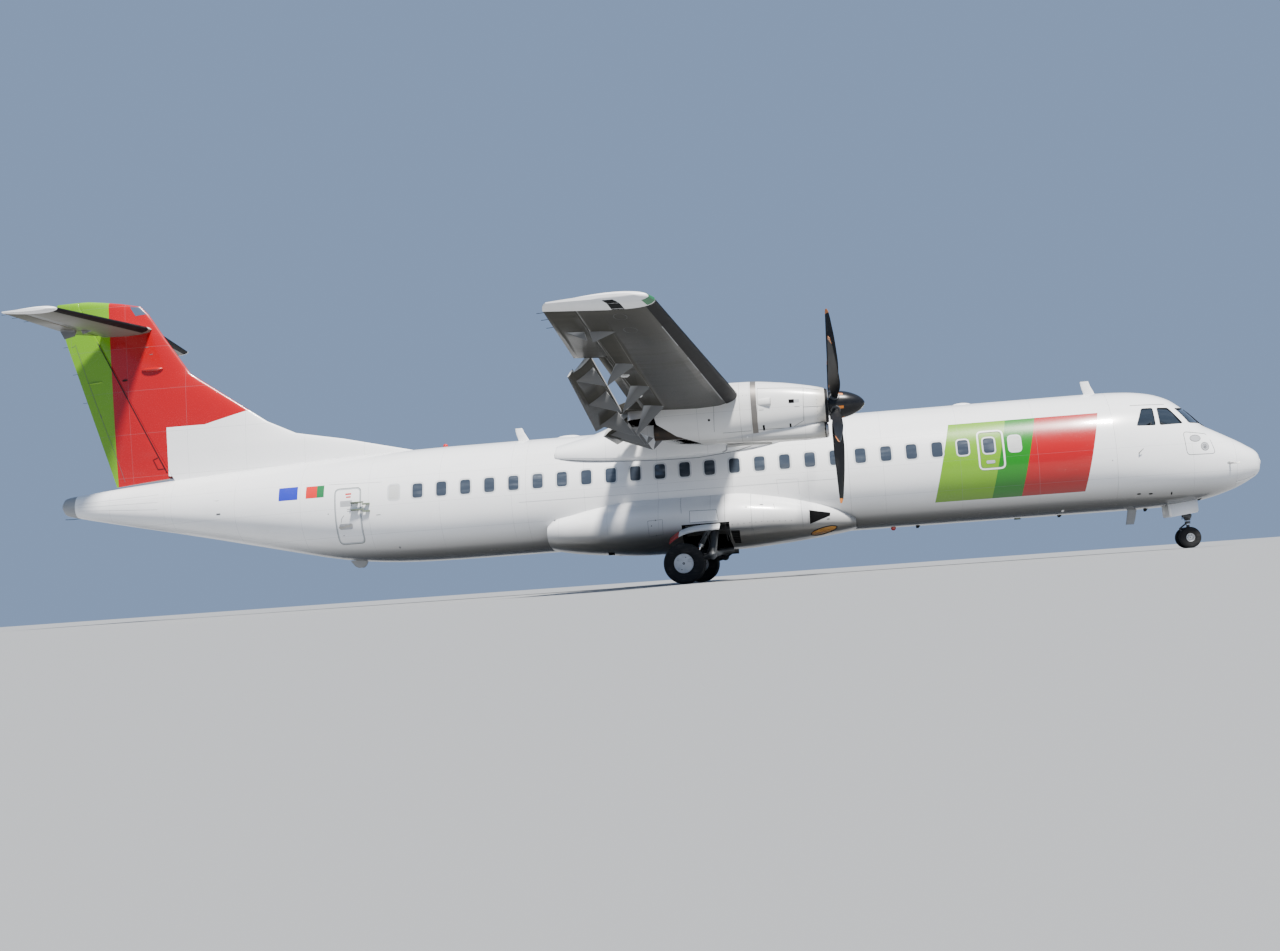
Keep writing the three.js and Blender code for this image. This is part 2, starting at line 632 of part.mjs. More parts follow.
function wings() {
  const group = [];
  const brackets = [];
  const flaps = [];
  for (const [sideName, side] of Object.entries(SIDES)) {
    for (const [flapName, [inner, outer, bracketYs]] of Object.entries(FLAPS)) {
      const halves = bracketYs.map((y) => bracketHalves(y, side));
      brackets.push(...halves.map((half) => ({ made: half.fixed, y: side * inner })));
      const whole = wingWhole[flapName === "inboard" ? "centre" : sideName];
      const surface = cut(
        flapBody(inner + FLAP_END_GAP, outer - FLAP_END_GAP, side),
        shroud(whole, inner, outer, side, SHROUD.clearance),
      );
      const raised = join(largest(surface), ...halves.map((half) => half.moving));
      flaps.push(mesh(`flap_${flapName}_${sideName}`, raised, GREY_PAINT));
    }
  }
  const flapBay = (side, [inner, outer]) => behind(inner, outer, FLAP_FRACTION - 0.008, side);
  const centreBays = Object.values(SIDES).map((side) => flapBay(side, FLAPS.inboard));
  const [inner, outer] = FLAPS.inboard;
  const shrouds = Object.values(SIDES).map((side) => shroud(wingWhole.centre, inner, outer, side));
  const centreBrackets = brackets.filter(({ y }) => Math.abs(y) < WING_BREAK_Y).map(({ made }) => made);
  const centre = join(cut(wingWhole.centre, ...centreBays), ...shrouds, ...centreBrackets);
  group.push(mesh("wing_centre", largest(centre), GREY_PAINT));
  for (const [name, side] of Object.entries(SIDES)) {
    const [a, b] = [AILERON.inner, AILERON.outer].map(aileronHinge);
    const at = (hinge) => hinge.at.map((v, i) => (i === 1 ? side * v : v));
    const bay = (grow) => nose(at(a), a.radius, at(b), b.radius, grow);
    const ends = [AILERON.inner + MOVING_GAP, AILERON.outer - MOVING_GAP];
    const surface = behind(...ends, AILERON.fraction, side);
    const between = block([11000, side * ends[0], 3000], [14000, side * ends[1], 5000]);
    const aileron = wingWhole[name].intersect(join(surface, bay(0).intersect(between)));
    const outerBrackets = brackets.filter(({ y }) => y * side > WING_BREAK_Y).map(({ made }) => made);
    const panel = join(
      cut(
        wingWhole[name],
        flapBay(side, FLAPS.outboard),
        behind(AILERON.inner, AILERON.outer, AILERON.fraction - 0.012, side),
        bay(MOVING_GAP),
      ),
      shroud(wingWhole[name], FLAPS.outboard[0], FLAPS.outboard[1], side),
      ...outerBrackets,
    );
    group.push(mesh("wing_" + name, largest(panel), GREY_PAINT));
    group.push(mesh("aileron_" + name, largest(aileron), WHITE));
  }
  for (const flap of flaps) group.push(lowered(flap));
  return group;
}

// Turns a raised flap about its hinge line to its setting.
function lowered(flap) {
  const side = flap.name.endsWith("left") ? 1 : -1;
  const [inner, outer] = FLAPS[flap.name.includes("inboard") ? "inboard" : "outboard"];
  const [from, to] = [inner, outer].map((y) => {
    const [s, , z] = hingeLine(y);
    return new THREE.Vector3(x(s), side * y, z);
  });
  const axis = new THREE.Vector3().subVectors(to, from).multiplyScalar(side).normalize();
  flap.geometry.translate(-from.x, -from.y, -from.z);
  flap.position.copy(from);
  flap.quaternion.setFromAxisAngle(axis, -radians(FLAP_SETTING));
  return flap;
}

// Fairings
// Columns: station, half width, top z, z of the widest point, bottom z
const WING_FAIRING = sections([
  [9150, 700, 3535, 3300, 3200],
  [9700, 1010, 3640, 3130, 2990],
  [10400, 1230, 3800, 2960, 2820],
  [11200, 1300, 3980, 2870, 2720],
  [12300, 1310, 4005, 2850, 2690],
  [13400, 1310, 3870, 2850, 2690],
  [14000, 1300, 3620, 2870, 2720],
  [14400, 1285, 3470, 2900, 2760],
  [14800, 1240, 3380, 2930, 2820],
  [15180, 1150, 3300, 2960, 2900],
]);
const BELLY_FAIRING = sections([
  [8720, 1000, 1220, 1110, 940],
  [8900, 1180, 1400, 1120, 905],
  [9250, 1420, 1600, 1150, 860],
  [9700, 1600, 1750, 1180, 805],
  [10500, 1830, 1920, 1230, 735],
  [11300, 1940, 2030, 1250, 690],
  [13300, 1945, 2030, 1250, 690],
  [14300, 1800, 1950, 1250, 760],
  [14900, 1640, 1840, 1260, 830],
  [15250, 1500, 1800, 1280, 890],
  [15420, 1400, 1600, 1290, 930],
]);
const MAIN_BAY = { forward: 11400, aft: 12420, inner: 700, top: 1250 };
const REAR_JACK = { station: 14100, y: 900, z: 740 };

function fairings() {
  const bays = Object.values(SIDES).map((side) =>
    block([MAIN_BAY.forward, side * MAIN_BAY.inner, 0], [MAIN_BAY.aft, side * 2300, MAIN_BAY.top]),
  );
  const whole = (table, exponent) =>
    stretch(table, table[0].station, table.at(-1).station, { upper: exponent, lower: exponent, points: 24 });
  const belly = cut(whole(BELLY_FAIRING, 2.5), bodyCutter, ...bays);
  const { station, y, z } = REAR_JACK;
  const pads = Object.values(SIDES).map((side) => jackPad(station, side * y, z));
  const saddle = cut(whole(WING_FAIRING, 2.6), bodyCutter, wingCutter);
  return [
    mesh("wing_fairing", largest(saddle), WHITE),
    mesh("belly_fairing", largest(join(belly, ...pads)), WHITE),
  ];
}

// Nacelles and engines
// Columns: station, half width, top z, z of the widest point, bottom z
const NACELLE = sections([
  [9140, 318, 3645, 3330, 3012],
  [9240, 352, 3690, 3325, 2975],
  [9600, 420, 3775, 3305, 2905],
  [10100, 470, 3865, 3290, 2830],
  [10700, 498, 3925, 3280, 2765],
  [11300, 505, 3935, 3280, 2735],
  [12100, 480, 3890, 3290, 2790],
  [12750, 400, 3755, 3340, 3010],
  [13060, 250, 3610, 3390, 3190],
  [13140, 120, 3520, 3400, 3310],
]);
const INTAKE = sections([
  [9175, 235, 2965, 2850, 2722],
  [9210, 275, 3000, 2850, 2700],
  [9700, 305, 3020, 2850, 2690],
  [10600, 340, 3010, 2850, 2700],
  [11400, 300, 2980, 2850, 2740],
]);
const MOUTH = { depth: 385, lip: 32 };
const COWL_REAR = 10870; // the engine cowling ends here, ahead of the wing
const ENGINE = { forward: 9600, height: 580, width: 600, z: 3330, space: 12 };
const EXHAUST = { offset: 120, z: 3050, end: 12620 };
const EXHAUST_CUT = [
  [11640, 2500],
  [11660, 2755],
  [12160, 2930],
  [12540, 3190],
  [12580, 3340],
  [14300, 3340],
  [14300, 2500],
];
const nacelleLoft = (side, from, to) =>
  stretch(NACELLE, from, to, { centreY: side * NACELLE_Y, upper: 2.35, lower: 2.35, points: 24 });

function nacelles() {
  const meshes = [];
  for (const [name, side] of Object.entries(SIDES)) {
    const y = side * NACELLE_Y;
    const [lip, ductEnd] = [INTAKE[0].station, INTAKE.at(-1).station];
    const square = { centreY: y, upper: 3, lower: 3, points: 16 };
    const duct = stretch(INTAKE, lip, ductEnd, square);
    const mouth = stretch(INTAKE, lip, lip + MOUTH.depth, { ...square, inset: MOUTH.lip });
    const mouthFront = mouth.translate([60, 0, 0]);
    const shell = join(nacelleLoft(side, NACELLE[0].station, NACELLE.at(-1).station), duct);
    const room = (grow) => {
      const [across, up] = [ENGINE.width / 2 + grow, ENGINE.height / 2 + grow];
      const low = [ENGINE.forward - grow, y - across, ENGINE.z - up];
      return block(low, [COWL_REAR + grow, y + across, ENGINE.z + up]);
    };
    const front = block([8000, y - 900, 2000], [COWL_REAR, y + 900, 4500]);
    const rear = block([COWL_REAR + JOINT_GAP, y - 900, 2000], [15000, y + 900, 4500]);
    const shaftHole = bar([8900, y, PROPELLER_Z], [9700, y, PROPELLER_Z], 130);
    // The outboard skin ends here, over the mouth of the exhaust
    const scoop = sidePrism(EXHAUST_CUT, y + side * 60, y + side * 700);
    const pipeY = y + side * EXHAUST.offset;
    const pipeHole = bar([11700, pipeY, EXHAUST.z], [13700, pipeY, EXHAUST.z], 176, 176, 20);
    const cowling = cut(shell.intersect(front), room(ENGINE.space), mouth, mouthFront, shaftHole);
    const body = cut(shell.intersect(rear), wingCutter, scoop, pipeHole);
    const pipe = cut(
      bar([11720, pipeY, EXHAUST.z], [EXHAUST.end, pipeY, EXHAUST.z], 170, 158, 20),
      bar([EXHAUST.end - 500, pipeY, EXHAUST.z], [EXHAUST.end + 100, pipeY, EXHAUST.z], 142, 142, 20),
    );
    const engine = join(
      room(0),
      bar([9080, y, PROPELLER_Z], [ENGINE.forward + 50, y, PROPELLER_Z], 110),
    );
    meshes.push(mesh("engine_cowling_" + name, largest(cowling), WHITE));
    meshes.push(mesh("nacelle_" + name, largest(body), WHITE));
    meshes.push(mesh("exhaust_pipe_" + name, pipe, BURNT));
    meshes.push(mesh("engine_" + name, engine, STEEL));
  }
  return meshes;
}

// Propellers. Columns: radius, chord, thickness, pitch from the plane of rotation in degrees, sweep back
const BLADE = [
  [150, 120, 118, 70, 0],
  [360, 150, 96, 66, 0],
  [560, 240, 46, 58, -8],
  [900, 300, 26, 46, -14],
  [1300, 285, 18, 37, -4],
  [1650, 225, 12, 31, 22],
  [1860, 165, 8, 28, 48],
  [PROPELLER_RADIUS, 80, 5, 26, 82],
].map(([radius, chord, thick, pitch, sweep]) => ({ radius, chord, thick, pitch, sweep }));
const BLADE_STATION = 9000;
const HUB = { radius: 165, front: 8850, rear: 9075, clearance: 4 };
const SPINNER = { front: 8420, rear: 9120, radius: 288, rootHole: 84 };
// The spinner's outline, as [radius, distance back]
const NOSE_CURVE = [[0, 0], [70, 28], [140, 100], [205, 220], [255, 370], [SPINNER.radius, 560]];

const BLADE_POINTS = 6;
function blade() {
  const rings = BLADE.map(({ radius, chord, thick, pitch, sweep }) =>
    Array.from({ length: BLADE_POINTS }, (_, k) => {
      const angle = (2 * Math.PI * k) / BLADE_POINTS;
      const along = (chord / 2) * Math.cos(angle) + sweep;
      const across = (thick / 2) * Math.sin(angle);
      const turn = radians(pitch);
      const aft = -along * Math.sin(turn) + across * Math.cos(turn);
      return new THREE.Vector3(aft, along * Math.cos(turn) + across * Math.sin(turn), radius);
    }),
  );
  return loft(rings);
}

function propellers() {
  const meshes = [];
  for (const [name, side] of Object.entries(SIDES)) {
    const y = side * NACELLE_Y;
    // A round bar about the shaft, drawn about the blades' own centre
    const about = (front, rear, radius) =>
      bar([front, 0, 0], [rear, 0, 0], radius).translate([-x(BLADE_STATION), 0, 0]);
    const hub = about(HUB.front, HUB.rear, HUB.radius);
    const socket = about(9050, 9200, 122);
    const turns = Array.from({ length: BLADE_COUNT }, (_, k) => BLADE_PHASE + (360 / BLADE_COUNT) * k);
    const one = blade();
    const whole = cut(join(hub, ...turns.map((turn) => one.rotate([-turn, 0, 0]))), socket);
    const curve = NOSE_CURVE.map(([r, back]) => [r, SPINNER.front + back]);
    const profile = [...curve, [SPINNER.radius, SPINNER.rear], [0, SPINNER.rear]];
    const points = profile.map(([r, s]) => new THREE.Vector2(r, BLADE_STATION - s));
    const lathe = new THREE.LatheGeometry(points.reverse(), 16);
    lathe.rotateZ(-Math.PI / 2);
    const rootHole = bar([x(0), 0, 0], [x(0), 0, 500], SPINNER.rootHole, SPINNER.rootHole, 8);
    const hubHole = about(HUB.front - HUB.clearance, HUB.rear + 200, HUB.radius + HUB.clearance);
    const cone = cut(solid(lathe), hubHole, ...turns.map((turn) => rootHole.rotate([-turn, 0, 0])));
    for (const [piece, made] of [["propeller_", whole], ["spinner_", largest(cone)]]) {
      const placed = mesh(piece + name, made, BLACK);
      placed.position.set(x(BLADE_STATION), y, PROPELLER_Z);
      meshes.push(placed);
    }
  }
  return meshes;
}

// Tail. The fin's sections lie across Z.
// Columns: z, leading edge station, trailing edge station, half thickness
const FIN = [
  [3000, 18300, 25790, 150],
  [3500, 18650, 25940, 150],
  [3900, 20300, 26060, 150],
  [4120, 21420, 26130, 148],
  [4450, 22100, 26230, 145],
  [5080, 22985, 26425, 135],
  [5730, 23900, 26625, 122],
  [6600, 24470, 26895, 108],
  [7210, 24850, 27060, 99],
  [7430, 25050, 27130, 94],
  [7530, 25500, LENGTH - 20, 84],
  [7600, 25930, LENGTH - 30, 62],
  [HEIGHT, 26300, LENGTH - 70, 22],
].map(([z, lead, trail, half]) => ({ z, lead, trail, half }));
// The rudder's hinge line as [station, z], and its lower edge, which follows the body
const RUDDER = { foot: [24520, 3330], head: [26570, 7500], frontZ: 3262, rearZ: 3036, noseZ: 3330 };
const RUDDER_NOSE = { radius: 150, z: 3900, taper: 0.02323 };

function finSection({ z, lead, trail, half }) {
  // The section is thickest a fixed distance ahead of the rudder, however long the dorsal fillet is
  const thickest = Math.max(trail - 1500, lead + 0.35 * (trail - lead));
  const width = (s) => {
    if (s < thickest) return half * Math.sqrt(Math.max(0, 1 - ((thickest - s) / (thickest - lead)) ** 2));
    const share = (s - thickest) / (trail - thickest);
    return half * (1 - share ** 1.7) + (TRAILING_EDGE / 2) * share;
  };
  const stations = foilFractions.map((f) => lead + f * (trail - lead));
  const port = stations.map((s) => new THREE.Vector3(x(s), width(s), z));
  const starboard = stations.slice(1).map((s) => new THREE.Vector3(x(s), -width(s), z));
  return [...port.reverse(), ...starboard];
}

// Columns: y, leading edge station, chord, thickness ratio, z
const STABILISER = [
  [0, 24760, 1880, 0.12, 6845],
  [3560, 25395, 1200, 0.11, 6845],
  [3655, 25560, 1000, 0.05, 6845],
].map(([y, station, chord, ratio, z]) => ({ y, station, chord, ratio, z }));
const ELEVATOR = { inner: 270, outer: 3430, fraction: 0.66, innerRear: 640 };

function stabiliserAt(y) {
  const [root, tip] = STABILISER;
  const share = y / tip.y;
  const blend = (key) => root[key] + share * (tip[key] - root[key]);
  return { station: blend("station"), chord: blend("chord"), ratio: blend("ratio"), z: root.z };
}

function elevatorHinge(y) {
  const { station, chord, ratio, z } = stabiliserAt(y);
  const radius = chord * ratio * thickness(ELEVATOR.fraction) * 0.95;
  return { at: [station + chord * ELEVATOR.fraction, y, z], radius };
}

function tail() {
  const whole = loft(FIN.map(finSection));
  const lean = (RUDDER.head[0] - RUDDER.foot[0]) / (RUDDER.head[1] - RUDDER.foot[1]);
  const hingeAt = (z) => [RUDDER.foot[0] + lean * (z - RUDDER.foot[1]), 0, z];
  // The rounded nose is wider than the fin, so that the sides turn inside its circle
  const radius = (z) => RUDDER_NOSE.radius - RUDDER_NOSE.taper * (z - RUDDER_NOSE.z);
  const rudderNose = (low, grow) =>
    nose(hingeAt(low), radius(low), hingeAt(HEIGHT + 40), radius(HEIGHT + 40), grow);
  const aft = (frontZ, rearZ, forward = 0) => {
    const corner = (z, y) => [hingeAt(z)[0] - forward, y, z];
    const edge = (y) => [corner(frontZ, y), corner(8000, y), [27600, y, rearZ], [27600, y, 8000]];
    return wedge([-300, 300].flatMap(edge));
  };
  const behindHinge = whole.intersect(join(aft(RUDDER.frontZ, RUDDER.rearZ), rudderNose(RUDDER.noseZ, 0)));
  const rudder = cut(behindHinge, bodyCutter);
  const stabiliserSide = (side) => mirrored(STABILISER, side);
  const plane = wingLoft([...stabiliserSide(-1).reverse(), ...stabiliserSide(1).slice(1)]);
  const root = STABILISER[0];
  const [station, chord, ratio] = [root.station - 4, root.chord + 20, root.ratio + 0.005];
  const planeCutter = wingLoft([-1, 1].map((side) => ({ y: side * 400, station, chord, ratio, z: root.z })));
  const fin = cut(whole, aft(2000, 2000), rudderNose(3150, MOVING_GAP), bodyCutter, planeCutter);

  const meshes = [mesh("fin", largest(fin), RED), mesh("rudder", largest(rudder), GREEN)];
  let fixed = cut(plane, aft(6000, 6000, 160).intersect(block([24000, -120, 6000], [28000, 120, 8000])));
  for (const [name, side] of Object.entries(SIDES)) {
    const at = (hinge) => hinge.at.map((v, i) => (i === 1 ? side * v : v));
    const surface = (grow) => {
      const corner = (y, z) => [elevatorHinge(y).at[0] - grow, side * y, z];
      const [inner, outer] = [ELEVATOR.inner - grow, ELEVATOR.outer + grow];
      return wedge(
        [root.z - 200, root.z + 200].flatMap((z) => [
          corner(inner, z),
          corner(outer, z),
          [27400, side * (ELEVATOR.innerRear - grow), z],
          [27400, side * outer, z],
        ]),
      );
    };
    const roundNose = (grow) => {
      const [a, b] = [ELEVATOR.inner - grow, ELEVATOR.outer + grow].map(elevatorHinge);
      return nose(at(a), a.radius, at(b), b.radius, grow);
    };
    const within = block([24000, side * ELEVATOR.inner, 6500], [28000, side * ELEVATOR.outer, 7200]);
    const elevator = join(plane.intersect(surface(0)), roundNose(0).intersect(within));
    const inboardCut = block(
      [elevatorHinge(0).at[0] - MOVING_GAP, 0, 6500],
      [28000, side * (ELEVATOR.innerRear + 60), 7200],
    );
    fixed = cut(fixed, surface(MOVING_GAP), roundNose(MOVING_GAP), inboardCut);
    meshes.push(mesh("elevator_" + name, largest(elevator), GREY_PAINT));
  }
  meshes.push(mesh("stabiliser", largest(fixed), GREY_PAINT));
  return meshes;
}

// Wheels
const WHEEL_SEGMENTS = 20;
// The tyre's profile as [radius, distance from its middle], closed on itself.
function tyreProfile({ radius, width, bead }) {
  const half = width / 2;
  const wall = radius - bead;
  return [
    [bead, half * 0.72],
    [bead + wall * 0.45, half],
    [bead + wall * 0.86, half * 0.84],
    [radius, half * 0.45],
    [radius, -half * 0.45],
    [bead + wall * 0.86, -half * 0.84],
    [bead + wall * 0.45, -half],
    [bead, -half * 0.72],
    [bead, half * 0.72],
  ];
}

function lathed(profile) {
  const points = profile.map(([r, y]) => new THREE.Vector2(r, y));
  const made = solid(new THREE.LatheGeometry(points, WHEEL_SEGMENTS));
  if (made.volume() > 0) return made;
  return solid(new THREE.LatheGeometry(points.reverse(), WHEEL_SEGMENTS));
}

// One rim: a dished disc with a flange at each bead.
function rim({ width, bead }, outward) {
  const half = width * 0.36;
  const seat = bead - 1;
  const profile = [
    [0, -half * 0.8],
    [seat, -half],
    [seat, half],
    [seat * 0.8, half * 0.4],
    [seat * 0.4, half * 0.35],
    [seat * 0.34, half * 0.75],
    [0, half * 0.75],
  ];
  return lathed(profile.map(([r, y]) => [r, outward * y]));
}

// A pair of wheels: two rims and the live axle that joins them, and two tyres.
function wheelPair(prefix, tyre, at, material) {
  const [station, y, z] = at;
  const offset = tyre.pair / 2;
  const axle = solid(new THREE.CylinderGeometry(tyre.axle, tyre.axle, tyre.pair, 12));
  const rims = [1, -1].map((end) => rim(tyre, end).translate([0, end * offset, 0]));
  const hubs = mesh(prefix + "_hubs", join(axle, ...rims), material);
  const tyres = [["port", 1], ["starboard", -1]].map(([end, way]) =>
    mesh(`${prefix}_tyre_${end}`, lathed(tyreProfile(tyre)).translate([0, way * offset, 0]), TYRE),
  );
  const group = [hubs, ...tyres];
  for (const piece of group) piece.position.set(x(station), y, z);
  return group;
}

// Main undercarriage
// The leg hangs from a trunnion high in its bay and is braced by two arms from a pin line beside the keel.
// Its foot carries the trailing arm, and a shock strut stands between the arm and the head of the leg.
const TRUNNION = { y: 1560, z: 1150, radius: 62 };
const LEG_FOOT = { station: 11800, z: 560, radius: 88, halfWidth: 76 };
const KEEL_PIN = { y: 880, z: 660, radius: 62, armStations: [11600, 12280] };
const SHOCK_STRUT = { headStation: 11860, headZ: 1090, footStation: 12200, radius: 56, rodRadius: 34 };
const AXLE_CLEARANCE = 6;

// A round bar that lies across the aircraft, with its middle at y.
const across = (station, y, z, half, radius) =>
  bar([station, y - half, z], [station, y + half, z], radius, radius, 16);

function mainLegs() {
  const meshes = [];
  const axleZ = MAIN_TYRE.radius;
  const foot = LEG_FOOT;
  const strut = SHOCK_STRUT;
  for (const [name, side] of Object.entries(SIDES)) {
    const y = side * (MAIN_TRACK / 2);
    const trunnionY = side * TRUNNION.y;
    const keelY = side * KEEL_PIN.y;
    // Where the shock strut's foot meets the trailing arm
    const share = (strut.footStation - foot.station) / (MAIN_AXLE_STATION - foot.station);
    const strutFootZ = foot.z + share * (axleZ - foot.z);
    const head = [strut.headStation, y, strut.headZ];
    const strutFoot = [strut.footStation, y, strutFootZ];
    const middle = head.map((v, i) => (v + strutFoot[i]) / 2);
    const hangers = LEG_DOOR.hangers.flatMap((station) => [
      bar([station, trunnionY, TRUNNION.z], [station, side * 2010, TRUNNION.z], 22, 22, 6),
      bar([station, side * 2005, TRUNNION.z - 10], [station, side * 2005, 1215], 22, 22, 6),
    ]);
    const [front, back] = [MAIN_BAY.forward + 1, MAIN_BAY.aft - 1];
    const [wideArm, thinArm] = KEEL_PIN.armStations;
    const leg = join(
      bar([front, trunnionY, TRUNNION.z], [back, trunnionY, TRUNNION.z], TRUNNION.radius),
      bar([foot.station - 60, trunnionY, TRUNNION.z], [foot.station, y, foot.z], 92, 80, 16),
      bar([foot.station - 50, y - side * 110, strut.headZ - 20], [foot.station, y, foot.z], 60),
      bar([foot.station - 50, trunnionY, TRUNNION.z - 10], [strut.headStation, y, strut.headZ], 58),
      across(foot.station, y, foot.z, foot.halfWidth, foot.radius),
      bar([foot.station, y, foot.z], [MAIN_AXLE_STATION, y, axleZ], 62, 56),
      across(MAIN_AXLE_STATION, y, axleZ, 62, 92),
      bar(head, strutFoot, strut.rodRadius),
      bar(head, middle, strut.radius),
      bar([front, keelY, KEEL_PIN.z], [back, keelY, KEEL_PIN.z], KEEL_PIN.radius),
      bar([wideArm, keelY, KEEL_PIN.z], [foot.station, y - side * 40, foot.z + 10], 74, 62),
      bar([thinArm, keelY, KEEL_PIN.z], [foot.station, y - side * 90, foot.z + 30], 48, 44, 8),
      ...hangers,
    );
    const plate = legDoor(side);
    const bore = across(MAIN_AXLE_STATION, y, axleZ, 100, MAIN_TYRE.axle + AXLE_CLEARANCE);
    const spaced = [0, -JOINT_GAP, 24, 44].map((up) => plate.translate([0, 0, up]));
    meshes.push(mesh("main_leg_" + name, largest(cut(leg, bore, ...spaced)), STEEL));
    meshes.push(mesh("main_leg_door_" + name, plate, WHITE));
  }
  return meshes;
}

// The curved plate over the wheels, carried by the leg and standing out from the fairing.
const LEG_DOOR = {
  forward: 11600,
  aft: 12680,
  inner: 1958,
  outer: 2260,
  thickness: 26,
  crown: 1228,
  drop: 110, // how much lower the outer edge is
  sag: 240, // how much lower the aft edge is
  hangers: [11750, 12160], // stations of the rods that carry it
};
function legDoor(side) {
  const steps = 8;
  const { forward, aft, inner, outer, thickness: thick, crown, drop, sag } = LEG_DOOR;
  const rings = Array.from({ length: steps + 1 }, (_, k) => {
    const share = k / steps;
    const station = forward + (aft - forward) * share;
    const z = crown - sag * share ** 4;
    return [
      new THREE.Vector3(x(station), side * inner, z),
      new THREE.Vector3(x(station), side * outer, z - drop),
      new THREE.Vector3(x(station), side * outer, z - drop - thick),
      new THREE.Vector3(x(station), side * inner, z - thick),
    ];
  });
  return loft(rings);
}

// Nose undercarriage
const STEER = { station: NOSE_AXLE_STATION - 20, bottom: 600, pistonRadius: 38, boreRadius: 46 };
const TOW_LUG = { reach: 150, halfWidth: 45, z: 300, halfHeight: 35 };
const TORQUE_LINK = { halfWidth: 22, knee: [190, 410, 440] }; // distance behind the leg, low z, high z

function noseLeg() {
  const { station, bottom, boreRadius } = STEER;
  const strutTop = NOSE_BAY.aft - 60;
  const pin = (at, z, radius) => across(at, 0, z, NOSE_BAY.halfWidth - 1, radius);
  const leg = cut(
    join(
      bar([station, 0, NOSE_BAY.roof - 1], [station, 0, bottom], 66),
      pin(station, 1260, 40),
      bar([station, 0, 820], [strutTop, 0, 1270], 30),
      pin(strutTop, 1270, 30),
      bar([station, 0, 760], [station, 0, 640], 86),
    ),
    bar([station, 0, bottom + 160], [station, 0, bottom - 50], boreRadius),
  );
  const axleZ = NOSE_TYRE.radius;
  // Each link of the pair is a flat arm between two upright edges, each [station, low z, high z]
  const link = (...ends) =>
    wedge(
      [-TORQUE_LINK.halfWidth, TORQUE_LINK.halfWidth].flatMap((y) =>
        ends.flatMap(([s, low, high]) => [[s, y, low], [s, y, high]]),
      ),
    );
  const [back, ...kneeZ] = TORQUE_LINK.knee;
  const knee = [station + back, ...kneeZ];
  const arms = join(
    bar([station, 0, bottom + 150], [station, 0, 300], STEER.pistonRadius),
    bar([station, 0, 330], [NOSE_AXLE_STATION, 0, axleZ], 52),
    across(NOSE_AXLE_STATION, 0, axleZ, 60, 52),
    bar([station, 0, bottom - 20], [station, 0, bottom - 70], 60),
    link([station + 30, 520, 560], knee),
    link(knee, [NOSE_AXLE_STATION, 240, 290]),
    block(
      [station - TOW_LUG.reach, -TOW_LUG.halfWidth, TOW_LUG.z - TOW_LUG.halfHeight],
      [station, TOW_LUG.halfWidth, TOW_LUG.z + TOW_LUG.halfHeight],
    ),
  );
  const fork = cut(arms, across(NOSE_AXLE_STATION, 0, axleZ, 100, NOSE_TYRE.axle + AXLE_CLEARANCE));
  const doors = Object.entries(SIDES).map(([name, side]) => {
    const outline = [[1430, 1080], [2052, 1080], [2036, 685], [1424, 757]];
    return mesh("nose_gear_door_" + name, sidePrism(outline, side * 322, side * 349, 50), WHITE);
  });
  return [mesh("nose_leg", leg, STEEL), mesh("nose_fork", fork, STEEL), ...doors];
}

function aircraft() {
  const group = new THREE.Group();
  const passenger = mesh("passenger_door", passengerDoor(), WHITE);
  const cargo = mesh("cargo_door", cargoDoor(), WHITE);
  const service = mesh("service_door", serviceDoor(), WHITE);
  group.add(...fuselage(), ...cockpitGlass(), passenger, cargo, service);
  for (const made of [wings, fairings, nacelles, propellers, tail, mainLegs, noseLeg]) group.add(...made());
  for (const [name, side] of Object.entries(SIDES)) {
    const at = [MAIN_AXLE_STATION, side * (MAIN_TRACK / 2), MAIN_TYRE.radius];
    group.add(...wheelPair("main_" + name, MAIN_TYRE, at, RIM));
  }
  group.add(...wheelPair("nose", NOSE_TYRE, [NOSE_AXLE_STATION, 0, NOSE_TYRE.radius], RIM));
  return group;
}

export default aircraft();
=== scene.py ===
"""A twin turboprop airliner standing on its wheels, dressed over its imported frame.

Metres, +X to the nose, +Y to port, +Z up, the floor at z = 0. A station is a distance back from the nose tip.
"""
import bisect
import json
import math

import bpy
from mathutils import Matrix, Vector


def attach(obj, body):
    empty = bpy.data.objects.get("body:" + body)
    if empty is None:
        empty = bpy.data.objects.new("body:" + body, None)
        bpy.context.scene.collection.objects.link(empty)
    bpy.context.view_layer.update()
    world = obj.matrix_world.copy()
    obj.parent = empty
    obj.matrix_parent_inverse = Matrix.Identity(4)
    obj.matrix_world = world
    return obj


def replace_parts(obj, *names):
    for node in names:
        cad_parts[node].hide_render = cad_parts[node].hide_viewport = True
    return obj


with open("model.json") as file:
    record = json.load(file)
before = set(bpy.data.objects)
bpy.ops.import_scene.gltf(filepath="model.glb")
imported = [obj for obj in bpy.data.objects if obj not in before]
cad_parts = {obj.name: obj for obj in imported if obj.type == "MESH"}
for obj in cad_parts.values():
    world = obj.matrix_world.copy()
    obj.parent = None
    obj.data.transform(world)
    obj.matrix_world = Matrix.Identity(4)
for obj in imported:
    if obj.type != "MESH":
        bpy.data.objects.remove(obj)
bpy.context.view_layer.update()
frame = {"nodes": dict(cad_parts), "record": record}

NODES = frame["nodes"]
BODY_OF = {
    node: body for body, members in frame["record"]["behaviour"]["bodies"].items() for node in members
}
LENGTH = 27.17
SIDES = {"left": 1, "right": -1}


def place(station, y, z):
    """A point of the aircraft in the row frame."""
    return Vector((LENGTH / 2 - station, y, z))


# Selecting and finishing


def only(obj):
    """Leaves obj as the one selected and active object."""
    bpy.ops.object.select_all(action="DESELECT")
    obj.select_set(True)
    bpy.context.view_layer.objects.active = obj


